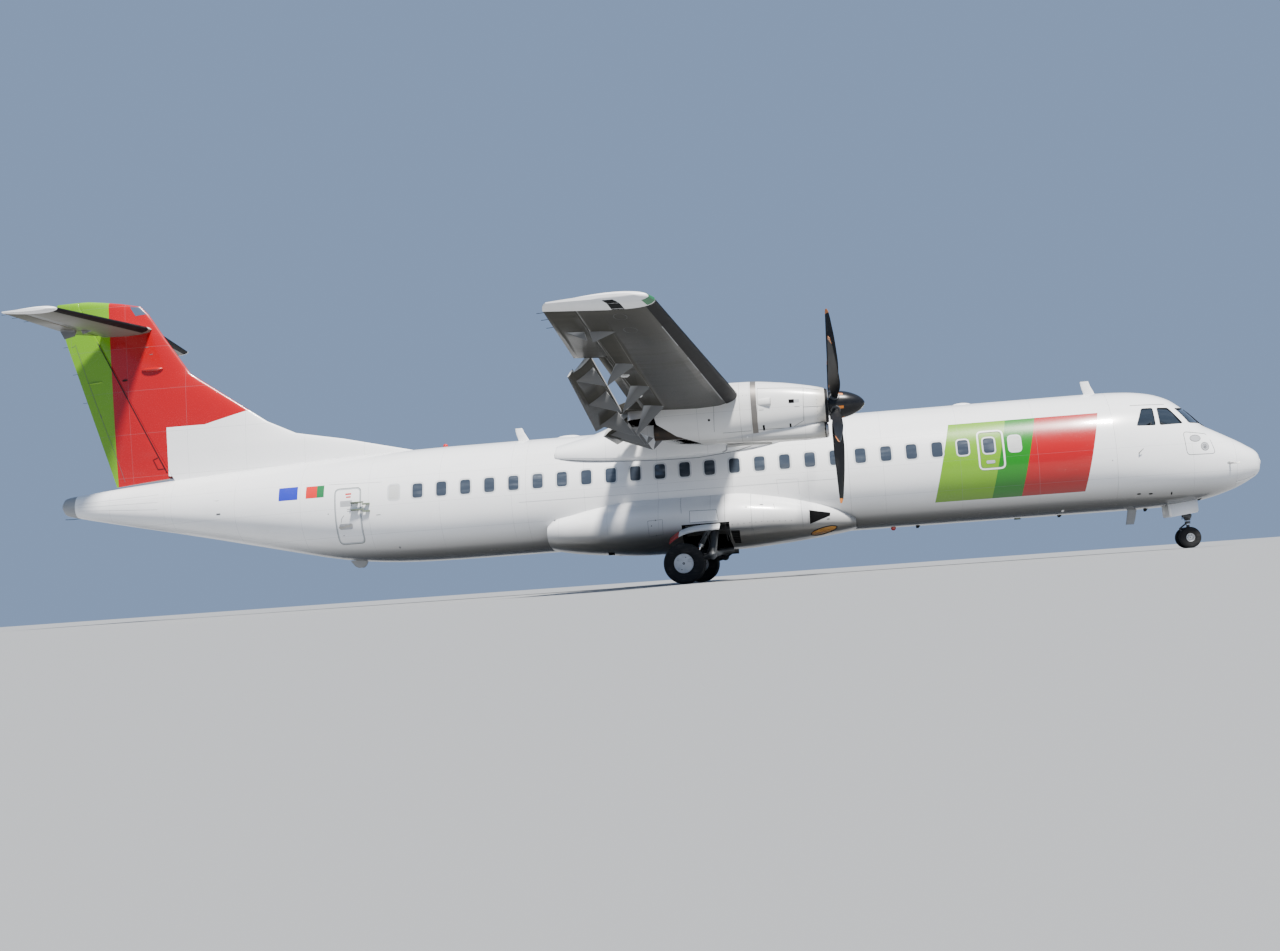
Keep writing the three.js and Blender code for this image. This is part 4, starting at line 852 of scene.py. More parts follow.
door_grey = finish("door_grey", (0.42, 0.45, 0.47), 0.4, amount=0.2, scale=9)
marking_blue = finish("marking_blue", (0.02, 0.03, 0.42), 0.4, amount=0.1, scale=8)
marking_red = finish("marking_red", (0.62, 0.02, 0.015), 0.4, amount=0.1, scale=8)
marking_green = finish("marking_green", (0.01, 0.16, 0.05), 0.4, amount=0.1, scale=8)
red_lens = finish(
    "red_lens", (0.50, 0.01, 0.01), 0.12, amount=0.1, scale=8, Coat_Weight=1.0, Coat_Roughness=0.05
)
strap_metal = finish("strap_metal", (0.20, 0.185, 0.17), 0.38, amount=0.5, scale=5, Metallic=0.55)

# Frame nodes that keep their shape: merged copies with smooth faces. Columns: finish, smooth angle, slot.
# The wheels and the propellers are not among them: they are modelled again below.
FINISHES = {
    "passenger_door": (primer, 30, "body_white"),
    "cargo_door": (primer, 30, "body_white"),
    "service_door": (primer, 30, "body_white"),
    "wing_": (wing_paint, 48, "wing_metal"),
    "aileron_": (wing_paint, 48, "wing_composite"),
    "flap_": (wing_paint, 40, "wing_composite"),
    "main_leg_door": (leg_door_paint, 40, "panel_white"),
    "main_leg_": (gear_steel_and_shade, 35, "leg_steel"),
    "nose_leg": (gear_steel_and_shade, 35, "leg_steel"),
    "nose_fork": (gear_steel_and_shade, 35, "leg_steel"),
    "nose_gear_door": (door_paint, 35, "panel_white"),
    "stabiliser": (tail_paint, 60, "wing_composite"),
    "elevator_": (tail_paint, 60, "wing_composite"),
    "exhaust_pipe": (burnt_metal, 35, "burnt_metal"),
    "engine_left": (bare_metal, 30, "engine_metal"),
    "engine_right": (bare_metal, 30, "engine_metal"),
    "windscreen": (cockpit_glass, 30, "dark_glass"),
    "cockpit_": (cockpit_glass, 30, "dark_glass"),
}
# Frame nodes left under the new skins. The belly fairing's and the nacelles' solids show only in the gear
# bays and openings, painted near black as painted shade.
UNDER_SKIN = {
    "radome": primer,
    "nose_fuselage": primer,
    "forward_fuselage": primer,
    "centre_fuselage": primer,
    "rear_fuselage": primer,
    "tail_cone": primer,
    "belly_fairing": painted_cavity_shade,
    "wing_fairing": fairing_paint,
    "engine_cowling_left": painted_cavity_shade,
    "engine_cowling_right": painted_cavity_shade,
    "nacelle_left": painted_cavity_shade,
    "nacelle_right": painted_cavity_shade,
}


def dress(node, material, angle, slot):
    """A frame node's shape with its corners joined, in its finish."""
    obj = duplicate(NODES[node], node + "_dressed")
    edit(obj, weld)
    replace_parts(piece(obj, node + "_dressed", BODY_OF[node], material, angle), node)


def dress_nodes():
    for node, obj in NODES.items():
        if node in UNDER_SKIN:
            obj.data.materials.clear()
            obj.data.materials.append(UNDER_SKIN[node])
            continue
        found = [key for key in FINISHES if node.startswith(key)]
        if found:
            dress(node, *FINISHES[max(found, key=len)])


dress_nodes()

# The body's skin, in the lengths that it is built in
SKIN_JOINTS = [0.0, 0.62, 3.2, 8.8, 15.83, 24.45, 26.8]  # none crosses a window
SKIN_NAMES = ["radome_skin", "nose_skin", "forward_skin", "centre_skin", "rear_skin", "tail_cone_skin"]
WITH_WINDOWS = slice(2, 5)  # the forward, centre and rear lengths
SEAM = 0.0015  # half the gap between two lengths


def stations_between(start, end, step):
    count = max(2, round((end - start) / step))
    return [start + (end - start) * k / count for k in range(count + 1)]


WINDOW = {"first": 5.28, "pitch": 0.5412, "count": 26, "z": 2.47, "half_length": 0.118, "half_height": 0.165}
WINDOW_FRAME = 0.030


def window_outline(index, grow=0.0):
    middle = WINDOW["first"] + WINDOW["pitch"] * index
    half_length = WINDOW["half_length"] + grow
    half_height = WINDOW["half_height"] + grow
    z = WINDOW["z"]
    corners = rectangle(middle - half_length, middle + half_length, z - half_height, z + half_height)
    return rounded(corners, 0.08 + grow * 0.8)


# Columns: side, forward station, aft station, sill, head, corner
DOORS = {
    "cargo_door": (1, 3.400, 4.675, 1.430, 3.005, 0.12),
    "passenger_door": (1, 19.380, 20.200, 1.430, 3.180, 0.13),
    "service_door": (-1, 19.570, 20.200, 1.400, 2.660, 0.12),
}
DOOR_GAP = 0.009
PANES = {
    "side_window": [(2.215, 2.635), (2.205, 3.032), (1.950, 3.022), (1.690, 2.650)],
    "rear_window": [(2.715, 2.650), (2.540, 3.035), (2.290, 3.035), (2.300, 2.635)],
}
WINDSCREEN = [(0.045, 2.645), (0.045, 3.035), (0.640, 3.010), (0.790, 2.655)]  # y, z
PANE_CORNER = 0.045
WINDSCREEN_CORNER = 0.035
NOSE_BAY = {"forward": 1.330, "aft": 2.110, "half_width": 0.352, "top": 1.34}
ROUND_TIP = 0.05  # the nose goes on this far past its first section, as a dome
EXIT = (5.50, 6.06, 1.95, 2.80)  # the emergency exit round the second window: stations and heights
EXIT_CORNER = 0.12


def door_outline(name, margin=0.0, steps=5):
    forward, aft, low, high, corner = DOORS[name][1:]
    return rounded(rectangle(forward, aft, low, high, margin), corner, steps)


def body_skin():
    skins = {}
    for name, start, end in zip(SKIN_NAMES, SKIN_JOINTS, SKIN_JOINTS[1:]):
        step = 0.10 if end < 4 or start > 17 else 0.45
        spots = stations_between(start + SEAM, end - SEAM, step)
        if name == "radome_skin":
            spots = [0.0, 0.012, 0.035, 0.07, 0.11, 0.16, 0.22, 0.29, 0.37, 0.46, 0.54, end - SEAM]
        rings = [hoop(body_section, s, SKIN_LIFT) for s in spots]
        if name == "radome_skin":
            rings = nose_dome() + rings
        skins[name] = thick(sheet(rings), SKIN_WALL)
    cut_skin(skins)
    for name, obj in skins.items():
        piece(obj, name, "airframe", body_paint, 32)
    tail_end()


def nose_dome():
    """Rings that close the nose with a shallow dome."""
    first = hoop(body_section, 0.0, SKIN_LIFT)
    middle = middle_of(first)
    rings = []
    for turn in (0, 25, 50, 72):
        share = math.sin(math.radians(turn))
        ahead = Vector((ROUND_TIP * 0.55 * math.cos(math.radians(turn)), 0, 0))
        rings.append([middle.lerp(p, share) + ahead for p in first])
    return rings


def cut_skin(skins):
    """Cuts the openings of the windows, doors, panes and the nose bay."""
    lengths = list(zip(SKIN_NAMES, SKIN_JOINTS, SKIN_JOINTS[1:]))
    for side in SIDES.values():
        reach = (side * 0.9, side * 1.7)
        for name, start, end in lengths[WITH_WINDOWS]:
            cutters = []
            for index in range(WINDOW["count"]):
                middle = WINDOW["first"] + WINDOW["pitch"] * index
                if start < middle < end:
                    cutters.append(side_prism(window_outline(index, WINDOW_FRAME), *reach))
            carved(skins[name], joined(cutters))
        for outline in PANES.values():
            carved(skins["nose_skin"], side_prism(rounded(outline, PANE_CORNER), side * 0.3, side * 1.5))
        front = rounded(WINDSCREEN, WINDSCREEN_CORNER)
        carved(skins["nose_skin"], solid([[place(s, side * y, z) for y, z in front] for s in (1.0, 2.05)]))
    for door, (side, *_) in DOORS.items():
        name = "forward_skin" if door == "cargo_door" else "rear_skin"
        carved(skins[name], side_prism(door_outline(door), side * 0.5, side * 1.7))
    bay = NOSE_BAY
    low = (bay["forward"], -bay["half_width"], 0.2)
    carved(skins["nose_skin"], box(low, (bay["aft"], bay["half_width"], bay["top"])))


def tail_end():
    """The grey cap at the very end."""
    spots = [26.8 + SEAM, 26.9, 27.0, 27.06, 27.11, 27.15, LENGTH]
    rings = [hoop(body_section, s, SKIN_LIFT) for s in spots]
    last = rings[-1]
    middle = middle_of(last)
    for share, back in ((0.85, 0.012), (0.5, 0.028), (0.0, 0.034)):
        rings.append([middle.lerp(p, share) - Vector((back, 0, 0)) for p in last])
    piece(sheet(rings), "tail_end_cap", "airframe", grey_paint, 40)


def doors():
    for name, (side, *_) in DOORS.items():
        plate = on_side(side, door_outline(name, DOOR_GAP, 8), rings=10, depth=0.005)
        piece(plate, name + "_skin", name + "_body", body_paint, 30)


def windows():
    """Each window is a dark pane set back in a pale frame. The first and the last are blanked."""
    for name, side in SIDES.items():
        panes, frames, blanks = [], [], []
        for index in range(WINDOW["count"]):
            blank = index in (0, WINDOW["count"] - 1)
            pane = on_side(side, window_outline(index), out=0.0025, depth=0.003)
            (blanks if blank else panes).append(pane)
            ring = window_outline(index, WINDOW_FRAME - 0.002)
            frames.append(on_side(side, ring, out=0.0045, depth=0.004, rings=2, width=WINDOW_FRAME))
        piece(joined(panes), "cabin_windows_" + name, "airframe", cabin_glass, 30)
        piece(joined(frames), "window_frames_" + name, "airframe", window_trim, 30)
        piece(joined(blanks), "window_blanks_" + name, "airframe", window_blank, 30)


def emergency_exits():
    """A raised outline round the second window of each side."""
    for name, side in SIDES.items():
        outer = rounded(rectangle(*EXIT), EXIT_CORNER, 8)
        rim = on_side(side, outer, out=SKIN_LIFT + 0.003, depth=0.003, rings=1, width=0.035)
        piece(rim, "exit_outline_" + name, "airframe", marking_white, 30)


body_skin()
doors()
windows()
emergency_exits()

# Fairings, nacelles and their intakes. Columns: station, half width, top, height of the widest point, bottom
WING_FAIRING = [
    (9.15, 0.700, 3.535, 3.300, 3.200),
    (9.70, 1.010, 3.640, 3.130, 2.990),
    (10.40, 1.230, 3.800, 2.960, 2.820),
    (11.20, 1.300, 3.980, 2.870, 2.720),
    (12.30, 1.310, 4.005, 2.850, 2.690),
    (13.40, 1.310, 3.870, 2.850, 2.690),
    (14.00, 1.300, 3.620, 2.870, 2.720),
    (14.40, 1.285, 3.470, 2.900, 2.760),
    (14.80, 1.240, 3.380, 2.930, 2.820),
    (15.18, 1.150, 3.300, 2.960, 2.900),
]
BELLY_FAIRING = [
    (8.72, 1.000, 1.220, 1.110, 0.940),
    (8.90, 1.180, 1.400, 1.120, 0.905),
    (9.25, 1.420, 1.600, 1.150, 0.860),
    (9.70, 1.600, 1.750, 1.180, 0.805),
    (10.50, 1.830, 1.920, 1.230, 0.735),
    (11.30, 1.940, 2.030, 1.250, 0.690),
    (13.30, 1.945, 2.030, 1.250, 0.690),
    (14.30, 1.800, 1.950, 1.250, 0.760),
    (14.90, 1.640, 1.840, 1.260, 0.830),
    (15.25, 1.500, 1.800, 1.280, 0.890),
    (15.42, 1.400, 1.600, 1.290, 0.930),
]
NACELLE = [
    (9.14, 0.318, 3.645, 3.330, 3.012),
    (9.24, 0.352, 3.690, 3.325, 2.975),
    (9.60, 0.420, 3.775, 3.305, 2.905),
    (10.10, 0.470, 3.865, 3.290, 2.830),
    (10.70, 0.498, 3.925, 3.280, 2.765),
    (11.30, 0.505, 3.935, 3.280, 2.735),
    (12.10, 0.480, 3.890, 3.290, 2.790),
    (12.75, 0.400, 3.755, 3.340, 3.010),
    (13.06, 0.250, 3.610, 3.390, 3.190),
    (13.14, 0.120, 3.520, 3.400, 3.310),
]
INTAKE = [
    (9.175, 0.235, 2.965, 2.850, 2.722),
    (9.210, 0.275, 3.000, 2.850, 2.700),
    (9.700, 0.305, 3.020, 2.850, 2.690),
    (10.60, 0.340, 3.010, 2.850, 2.700),
    (11.40, 0.300, 2.980, 2.850, 2.740),
]
# How square the sections are: 2 is an oval, and more is squarer
BELLY_ROUND = 2.5
SADDLE_ROUND = 2.6
NACELLE_ROUND = 2.35
INTAKE_ROUND = 3.0
NACELLE_Y = 4.05
PROPELLER_Z = 3.33
COWL_REAR = 10.87
COWL_GAP = 0.002  # half the gap between the cowling and the nacelle
INTAKE_MOUTH = {"wall": 0.032, "rear": 9.62, "ahead": 0.03}
MAIN_BAY = {"forward": 11.40, "aft": 12.42, "inner": 0.70, "top": 1.25}
# The space behind the cowling that leaves the exhaust pipe free: stations and heights
EXHAUST_EDGE = [(11.64, 2.5), (11.66, 2.755), (12.16, 2.93), (12.54, 3.19), (12.58, 3.34)]
EXHAUST_CUT = [*EXHAUST_EDGE, (14.3, 3.34), (14.3, 2.5)]


def round_hoop(section, station, out, count, exponent, centre=0.0):
    """A ring that is equally round above and below."""
    return hoop(section, station, out, count, exponent, exponent, centre)


def shell(table, step, exponent, count=72, lift=0.004, centre=0.0, end=None, wall=0.0):
    """A smooth body through a table of sections, solid, or hollow with a thin wall."""
    section = smooth_sections(table)
    spots = stations_between(table[0][0], end or table[-1][0], step)
    rings = [round_hoop(section, s, lift, count, exponent, centre) for s in spots]
    if not wall:
        return solid(rings)
    # The wall goes on over both ends, drawn in to a small hole that lies inside the body
    start, end = [[middle_of(ring).lerp(p, 0.25) for p in ring] for ring in (rings[0], rings[-1])]
    return thick(sheet([start, *rings, end]), wall)


def fairings():
    belly = shell(BELLY_FAIRING, 0.12, BELLY_ROUND, wall=0.012)
    bay = MAIN_BAY
    for side in SIDES.values():
        low = (bay["forward"], side * bay["inner"], 0.2)
        carved(belly, box(low, (bay["aft"], side * 2.3, bay["top"])))
    piece(belly, "belly_fairing_skin", "airframe", fairing_paint, 34)
    saddle = shell(WING_FAIRING, 0.12, SADDLE_ROUND, wall=0.008)
    piece(saddle, "wing_fairing_skin", "airframe", fairing_paint, 34)


def nacelles():
    for name, side in SIDES.items():
        centre = side * NACELLE_Y
        whole = shell(NACELLE, 0.08, NACELLE_ROUND, centre=centre)
        carved(whole, shell(INTAKE, 0.08, INTAKE_ROUND, 48, centre=centre), "UNION")
        mouth = shell(INTAKE, 0.08, INTAKE_ROUND, 48, -INTAKE_MOUTH["wall"], centre, INTAKE_MOUTH["rear"])
        mouth.location.x += INTAKE_MOUTH["ahead"]
        carved(whole, settled(mouth))
        carved(whole, side_prism(EXHAUST_CUT, centre + side * 0.06, centre + side * 0.7))
        rear = duplicate(whole, "rear")
        carved(whole, box((COWL_REAR - COWL_GAP, centre - 0.9, 2), (15, centre + 0.9, 4.5)))
        carved(rear, box((8, centre - 0.9, 2), (COWL_REAR + COWL_GAP, centre + 0.9, 4.5)))
        piece(whole, "engine_cowling_skin_" + name, "airframe", nacelle_paint, 34)
        piece(rear, "nacelle_skin_" + name, "airframe", nacelle_paint, 34)


fairings()
nacelles()

# Wing boots and tips. Columns: y, leading edge station, chord, thickness ratio, leading edge z, twist, camber
WING = [
    (0.0, 10.90, 2.570, 0.18, 3.640, 2.0, 0.025),
    (4.6, 10.90, 2.570, 0.18, 3.640, 2.0, 0.025),
    (13.365, 11.52, 1.625, 0.135, 4.110, 0.5, 0.020),
    (13.48, 11.60, 1.520, 0.10, 4.150, 0.5, 0.015),
    (13.525, 11.78, 1.290, 0.045, 4.175, 0.5, 0.010),
]
STABILISER = [
    (0.0, 24.76, 1.88, 0.12, 6.845, 0.0, 0.0),
    (3.56, 25.395, 1.20, 0.11, 6.845, 0.0, 0.0),
    (3.655, 25.56, 1.00, 0.05, 6.845, 0.0, 0.0),
]
TRAILING_EDGE = 0.007


def blend_rows(table, y):
    """A table's values between its rows, whose first column is a distance from the middle or a height."""
    ys = [row[0] for row in table]
    i = min(max(bisect.bisect_right(ys, abs(y)) - 1, 0), len(ys) - 2)
    share = (abs(y) - ys[i]) / (ys[i + 1] - ys[i])
    return [a + share * (b - a) for a, b in zip(table[i], table[i + 1])][1:]


def foil_half(fraction):
    f = fraction
    return 5 * (0.2969 * math.sqrt(f) - 0.126 * f - 0.3516 * f**2 + 0.2843 * f**3 - 0.1036 * f**4)


def foil_point(table, y, fraction, upper, out=0.0):
    """A point of the wing's surface at a chord fraction, on its upper or lower side."""
    station, chord, ratio, z, twist, camber = blend_rows(table, y)
    half = chord * ratio * foil_half(fraction) + TRAILING_EDGE / 2 * fraction + out
    arch = chord * camber * 4 * fraction * (1 - fraction)
    back = fraction * chord - (out if fraction < 0.004 else 0)
    z += arch + (half if upper else -half) - fraction * chord * math.tan(math.radians(twist))
    return place(station + back, y, z)


def wrap(table, y, reach, steps, lift):
    """Points over a leading edge, from a chord fraction on its upper side to the same on its lower side."""
    fractions = [reach * (i / steps) ** 2 for i in range(steps, 0, -1)]
    upper = [foil_point(table, y, f, True, lift) for f in fractions]
    lower = [foil_point(table, y, f, False, lift) for f in reversed(fractions)]
    return [*upper, foil_point(table, y, 0, True, lift), *lower]


def boot(table, y_from, y_to, reach, rows=24, lift=0.004):
    """A rubber strip wrapped over a leading edge."""
    rings = [wrap(table, y_from + (y_to - y_from) * k / rows, reach, 12, lift) for k in range(rows + 1)]
    return thick(facing(sheet(rings, closed=False), (1, 0, 0)), 0.003)


def boots():
    for name, side in SIDES.items():
        inner = boot(WING, side * 1.36, side * 3.52, 0.075, 6)
        outer = boot(WING, side * 4.58, side * 13.3, 0.085)
        detail(joined([inner, outer]), "wing_boot_" + name, boot_rubber)
        detail(boot(STABILISER, side * 0.22, side * 3.5, 0.085, 10), "stabiliser_boot_" + name, boot_rubber)


boots()

# Columns: height, leading edge station, trailing edge station, half thickness
FIN = [
    (3.00, 18.30, 25.79, 0.150),
    (3.50, 18.65, 25.94, 0.150),
    (3.90, 20.30, 26.06, 0.150),
    (4.12, 21.42, 26.13, 0.148),
    (4.45, 22.10, 26.23, 0.145),
    (5.08, 22.985, 26.425, 0.135),
    (5.73, 23.90, 26.625, 0.122),
    (6.60, 24.47, 26.895, 0.108),
    (7.21, 24.85, 27.06, 0.099),
    (7.43, 25.05, 27.13, 0.094),
    (7.53, 25.50, 27.15, 0.084),
    (7.60, 25.93, 27.14, 0.062),
    (7.65, 26.30, 27.10, 0.022),
]
RUDDER_FOOT = (24.52, 3.33)
RUDDER_HEAD = (26.57, 7.50)
RUDDER_EDGE = (3.285, 3.056)  # heights of the rudder's lower edge at its front and at station 27.6
RUDDER_NOSE = {"radius": 0.1565, "at": 3.9, "taper": 0.0219, "low": 3.345}
FIN_LIFT = 0.003
FIN_SPLIT = 0.012  # the gap between the fin and the rudder's round nose


def fin_reach(station, z, out=0.0):
    """How far out the fin's skin lies."""
    lead, trail, half = blend_rows(FIN, z)
    thickest = max(trail - 1.5, lead + 0.35 * (trail - lead))
    if station < thickest:
        ahead = (thickest - station) / (thickest - lead)
        width = half * math.sqrt(max(0.0, 1 - ahead**2))
    else:
        behind = (station - thickest) / (trail - thickest)
        width = half * (1 - min(behind, 1.0) ** 1.7) + 0.004 * behind
    return width + FIN_LIFT + out


def fin_ring(z):
    lead, trail, _ = blend_rows(FIN, z)
    sides = [lead + (trail - lead) * (1 - math.cos(a)) / 2 for a in half_turn(40)]
    port = [place(s, fin_reach(s, z), z) for s in reversed(sides)]
    return port + [place(s, -fin_reach(s, z), z) for s in sides[1:]]


def hinge_station(z):
    share = (z - RUDDER_FOOT[1]) / (RUDDER_HEAD[1] - RUDDER_FOOT[1])
    return RUDDER_FOOT[0] + share * (RUDDER_HEAD[0] - RUDDER_FOOT[0])


def rudder_nose(grow):
    """A cone round the hinge line, as wide as the rudder's rounded front."""
    ends, radii = [], []
    for z in (2.6, 8.1):
        ends.append((hinge_station(z), 0, z))
        radii.append(RUDDER_NOSE["radius"] - RUDDER_NOSE["taper"] * (z - RUDDER_NOSE["at"]) + grow)
    return tube(ends, radii, 64)


def fin_and_rudder():
    heights = [row[0] for row in FIN]
    spots = sorted({round(z, 3) for a, b in zip(heights, heights[1:]) for z in stations_between(a, b, 0.15)})
    whole = solid([fin_ring(z) for z in spots])
    rudder = duplicate(whole, "rudder_skin")
    behind_line = [(hinge_station(z), z) for z in (2.5, 8.0)] + [(27.9, 8.0), (27.9, 2.5)]
    carved(whole, side_prism(behind_line, -0.4, 0.4))
    carved(whole, rudder_nose(FIN_SPLIT))
    nose = rudder_nose(0.0)
    carved(nose, box((24.0, -0.5, 2.0), (27.5, 0.5, RUDDER_NOSE["low"])))
    front_low, rear_low = RUDDER_EDGE
    low, high = [(hinge_station(z), z) for z in (front_low, 8.0)]
    kept = side_prism([low, (27.6, rear_low), (27.6, 8.0), high], -0.4, 0.4)
    carved(kept, nose, "UNION")
    carved(rudder, kept, "INTERSECT")
    piece(whole, "fin_skin", "airframe", fin_paint, 40)
    piece(rudder, "rudder_skin", "rudder_body", fin_paint, 40)
    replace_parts(whole, "fin")
    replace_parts(rudder, "rudder")


fin_and_rudder()

# Wheels
# Columns: nodes' prefix, body, station, y, radius, width, bead radius, distance between the pair, axle radius
WHEELS = [
    ("main_left", "left_main_wheels", 12.39, 2.05, 0.430, 0.250, 0.205, 0.430, 0.048),
    ("main_right", "right_main_wheels", 12.39, -2.05, 0.430, 0.250, 0.205, 0.430, 0.048),
    ("nose", "nose_wheels", 1.62, 0.0, 0.228, 0.165, 0.090, 0.400, 0.024),
]
# Half of a tyre's profile: distance out as a share of its half width, and height as a share of its wall
TYRE_SHOULDER = [(0.52, 0.995), (0.68, 0.965), (0.82, 0.90), (0.92, 0.80), (0.98, 0.66), (1.0, 0.50)]
TYRE_WALL = [(0.985, 0.34), (0.94, 0.22), (0.90, 0.205), (0.88, 0.19)]
TYRE_BEAD = [(0.84, 0.09), (0.76, 0.03), (0.70, 0.0)]
GROOVES = [-0.40, -0.14, 0.14, 0.40]  # their places across the tread
GROOVE_HALF = 0.035
# Wheel faces: distance out as a share of the tyre's width, and radius as a share of the bead's
RIM = [(-0.38, 0.93), (-0.40, 1.005), (0.40, 1.005)]
SMOOTH_CAP = [(0.435, 0.985), (0.42, 0.94), (0.37, 0.92), (0.385, 0.86), (0.43, 0.60), (0.45, 0.35)]
CAPPED_FACE = [*RIM, *SMOOTH_CAP, (0.455, 0.12)]
DISHED_WEB = [(0.43, 0.985), (0.41, 0.93), (0.30, 0.90), (0.16, 0.84), (0.13, 0.70), (0.16, 0.46)]
HOLED_FACE = [*RIM, *DISHED_WEB, (0.30, 0.36), (0.40, 0.33), (0.44, 0.24), (0.45, 0.10)]


def tyre_loop(radius, width, bead):
    """A tyre's closed profile, with its grooves."""
    half, wall = width / 2, radius - bead
    side = [(along * half, bead + wall * up) for along, up in TYRE_SHOULDER + TYRE_WALL + TYRE_BEAD]
    tread = []
    for middle in GROOVES:
        low, high = (middle - GROOVE_HALF) * half, (middle + GROOVE_HALF) * half
        tread += [(low, radius), (low * 0.985, radius - 0.04 * wall)]
        tread += [(high * 0.985, radius - 0.04 * wall), (high, radius)]
    other = [(-along, up) for along, up in reversed(side)]
    return other + tread + side


def spots_round(count, radius, centre, turn=0.0):
    """Places evenly spaced on a circle in a plane across Y."""
    angles = [turn + angle for angle in angles_round(count)]
    return [centre + Vector((radius * math.cos(a), 0, radius * math.sin(a))) for a in angles]


def stub(centre, way, radius, inner, outer, sides=8):
    """A short round stud or plug that points outwards along Y."""
    profile = [(inner, radius), (outer - radius * 0.2, radius), (outer, radius * 0.75)]
    return turned(profile, centre, (0, way, 0), sides)


def wheels():
    for prefix, body, station, y, radius, width, bead, pair, axle in WHEELS:
        main = prefix != "nose"
        rims, dark, bright = [], [], []
        for name, way in (("port", 1), ("starboard", -1)):
            centre = place(station, y + way * pair / 2, radius)
            made = revolved(tyre_loop(radius, width, bead), centre, (0, way, 0), 96 if main else 64)
            piece(made, f"{prefix}_tyre_{name}_dressed", body, tyre_rubber, 40)
            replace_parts(made, f"{prefix}_tyre_{name}")
            capped = main and way * y > 0
            face = CAPPED_FACE if capped else HOLED_FACE
            rims.append(turned([(a * width, r * bead) for a, r in face], centre, (0, way, 0), 64))
            reach = width * 0.45
            if capped:
                nuts = spots_round(16, 0.186, centre)
                rims += [stub(p, way, 0.008, reach * 0.8, reach * 0.945) for p in nuts]
                dark.append(stub(centre, way, 0.030, reach * 0.9, reach * 1.035, 24))
                dark += [stub(p, way, 0.010, 0.09, 0.1135, 10) for p in spots_round(2, 0.135, centre, 1.2)]
                bright.append(stub(centre, way, 0.016, reach * 0.9, reach * 1.06, 6))
            else:
                # The holes are dark plugs: painted shade in them.
                holes = spots_round(10 if main else 6, bead * 0.70, centre)
                size = bead * (0.115 if main else 0.13)
                dark += [stub(p, way, size, 0, width * 0.14, 12) for p in holes]
                studs = spots_round(10 if main else 6, bead * 0.42, centre, 0.3)
                bright += [stub(p, way, bead * 0.045, width * 0.1, width * 0.27, 6) for p in studs]
                dark.append(stub(centre, way, bead * 0.15, width * 0.3, width * 0.462, 20))
        middle = place(station, y, radius)
        reach = pair / 2
        rims.append(turned([(-reach, axle), (reach, axle)], middle, (0, 1, 0), 32))
        hub = piece(joined(rims), prefix + "_hubs_dressed", body, wheel_white, 32)
        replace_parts(hub, prefix + "_hubs")
        piece(joined(dark), prefix + "_hub_holes", body, painted_cavity_shade, 32)
        piece(joined(bright), prefix + "_hub_studs", body, bare_metal, 32)


wheels()

# Propellers. Columns: radius, chord, thickness, pitch from the plane of rotation in degrees, sweep back
BLADE = [
    (0.150, 0.120, 0.118, 70, 0.0),
    (0.360, 0.150, 0.096, 66, 0.0),
    (0.560, 0.240, 0.046, 58, -0.008),
    (0.900, 0.300, 0.026, 46, -0.014),
    (1.300, 0.285, 0.018, 37, -0.004),
    (1.650, 0.225, 0.012, 31, 0.022),
    (1.860, 0.165, 0.008, 28, 0.048),
    (1.965, 0.080, 0.005, 26, 0.082),
]
BLADE_STATION = 9.0
BLADE_COUNT = 6
BLADE_PHASE = 3  # degrees from upright, leaning to port
BLADE_TIP = 1.87  # the painted tip starts here
BLADE_COLLAR = [(0.255, 0.098), (0.292, 0.098), (0.298, 0.088), (0.298, 0.07)]  # height, radius
BLADE_END = BLADE[-1][0]
SPINNER_FRONT = 8.42
# The spinner's outline: distance behind its tip, and radius
SPINNER_CURVE = [(0.0, 0.0), (0.028, 0.070), (0.100, 0.140), (0.220, 0.205), (0.370, 0.255), (0.560, 0.288)]


def blade_rings(start, end, step):
    """Sections of one upright blade between two radii, as (forward, sideways, up)."""
    curves = [curve_through([row[0] for row in BLADE], [row[i] for row in BLADE]) for i in range(1, 5)]
    rings = []
    for radius in stations_between(start, end, step):
        chord, thickness, pitch, sweep = [curve(radius) for curve in curves]
        turn = math.radians(pitch)
        ring = []
        for angle in angles_round(24):
            along = chord / 2 * math.cos(angle) + sweep
            across = thickness / 2 * math.sin(angle) * (1 - 0.3 * math.cos(angle))
            forward = across * math.cos(turn) - along * math.sin(turn)
            ring.append(Vector((forward, along * math.cos(turn) + across * math.sin(turn), radius)))
        rings.append(ring)
    return rings


def blade_turn(index):
    return math.radians(BLADE_PHASE + 360 / BLADE_COUNT * index)


def blades(start, end, step, centre):
    """The parts of all the blades between two radii."""
    made = []
    for k in range(BLADE_COUNT):
        turn = Matrix.Rotation(-blade_turn(k), 3, "X")
        made.append(solid([[centre + turn @ p for p in ring] for ring in blade_rings(start, end, step)]))
    return joined(made)


def spinner_radius(back):
    """The spinner's radius at a distance behind its tip."""
    if back >= SPINNER_CURVE[-1][0]:
        return SPINNER_CURVE[-1][1]
    # Near the tip the outline is round, so the curve runs through squared radii
    squared = curve_through([b for b, r in SPINNER_CURVE], [r * r for b, r in SPINNER_CURVE])
    return math.sqrt(max(0.0, squared(back)))


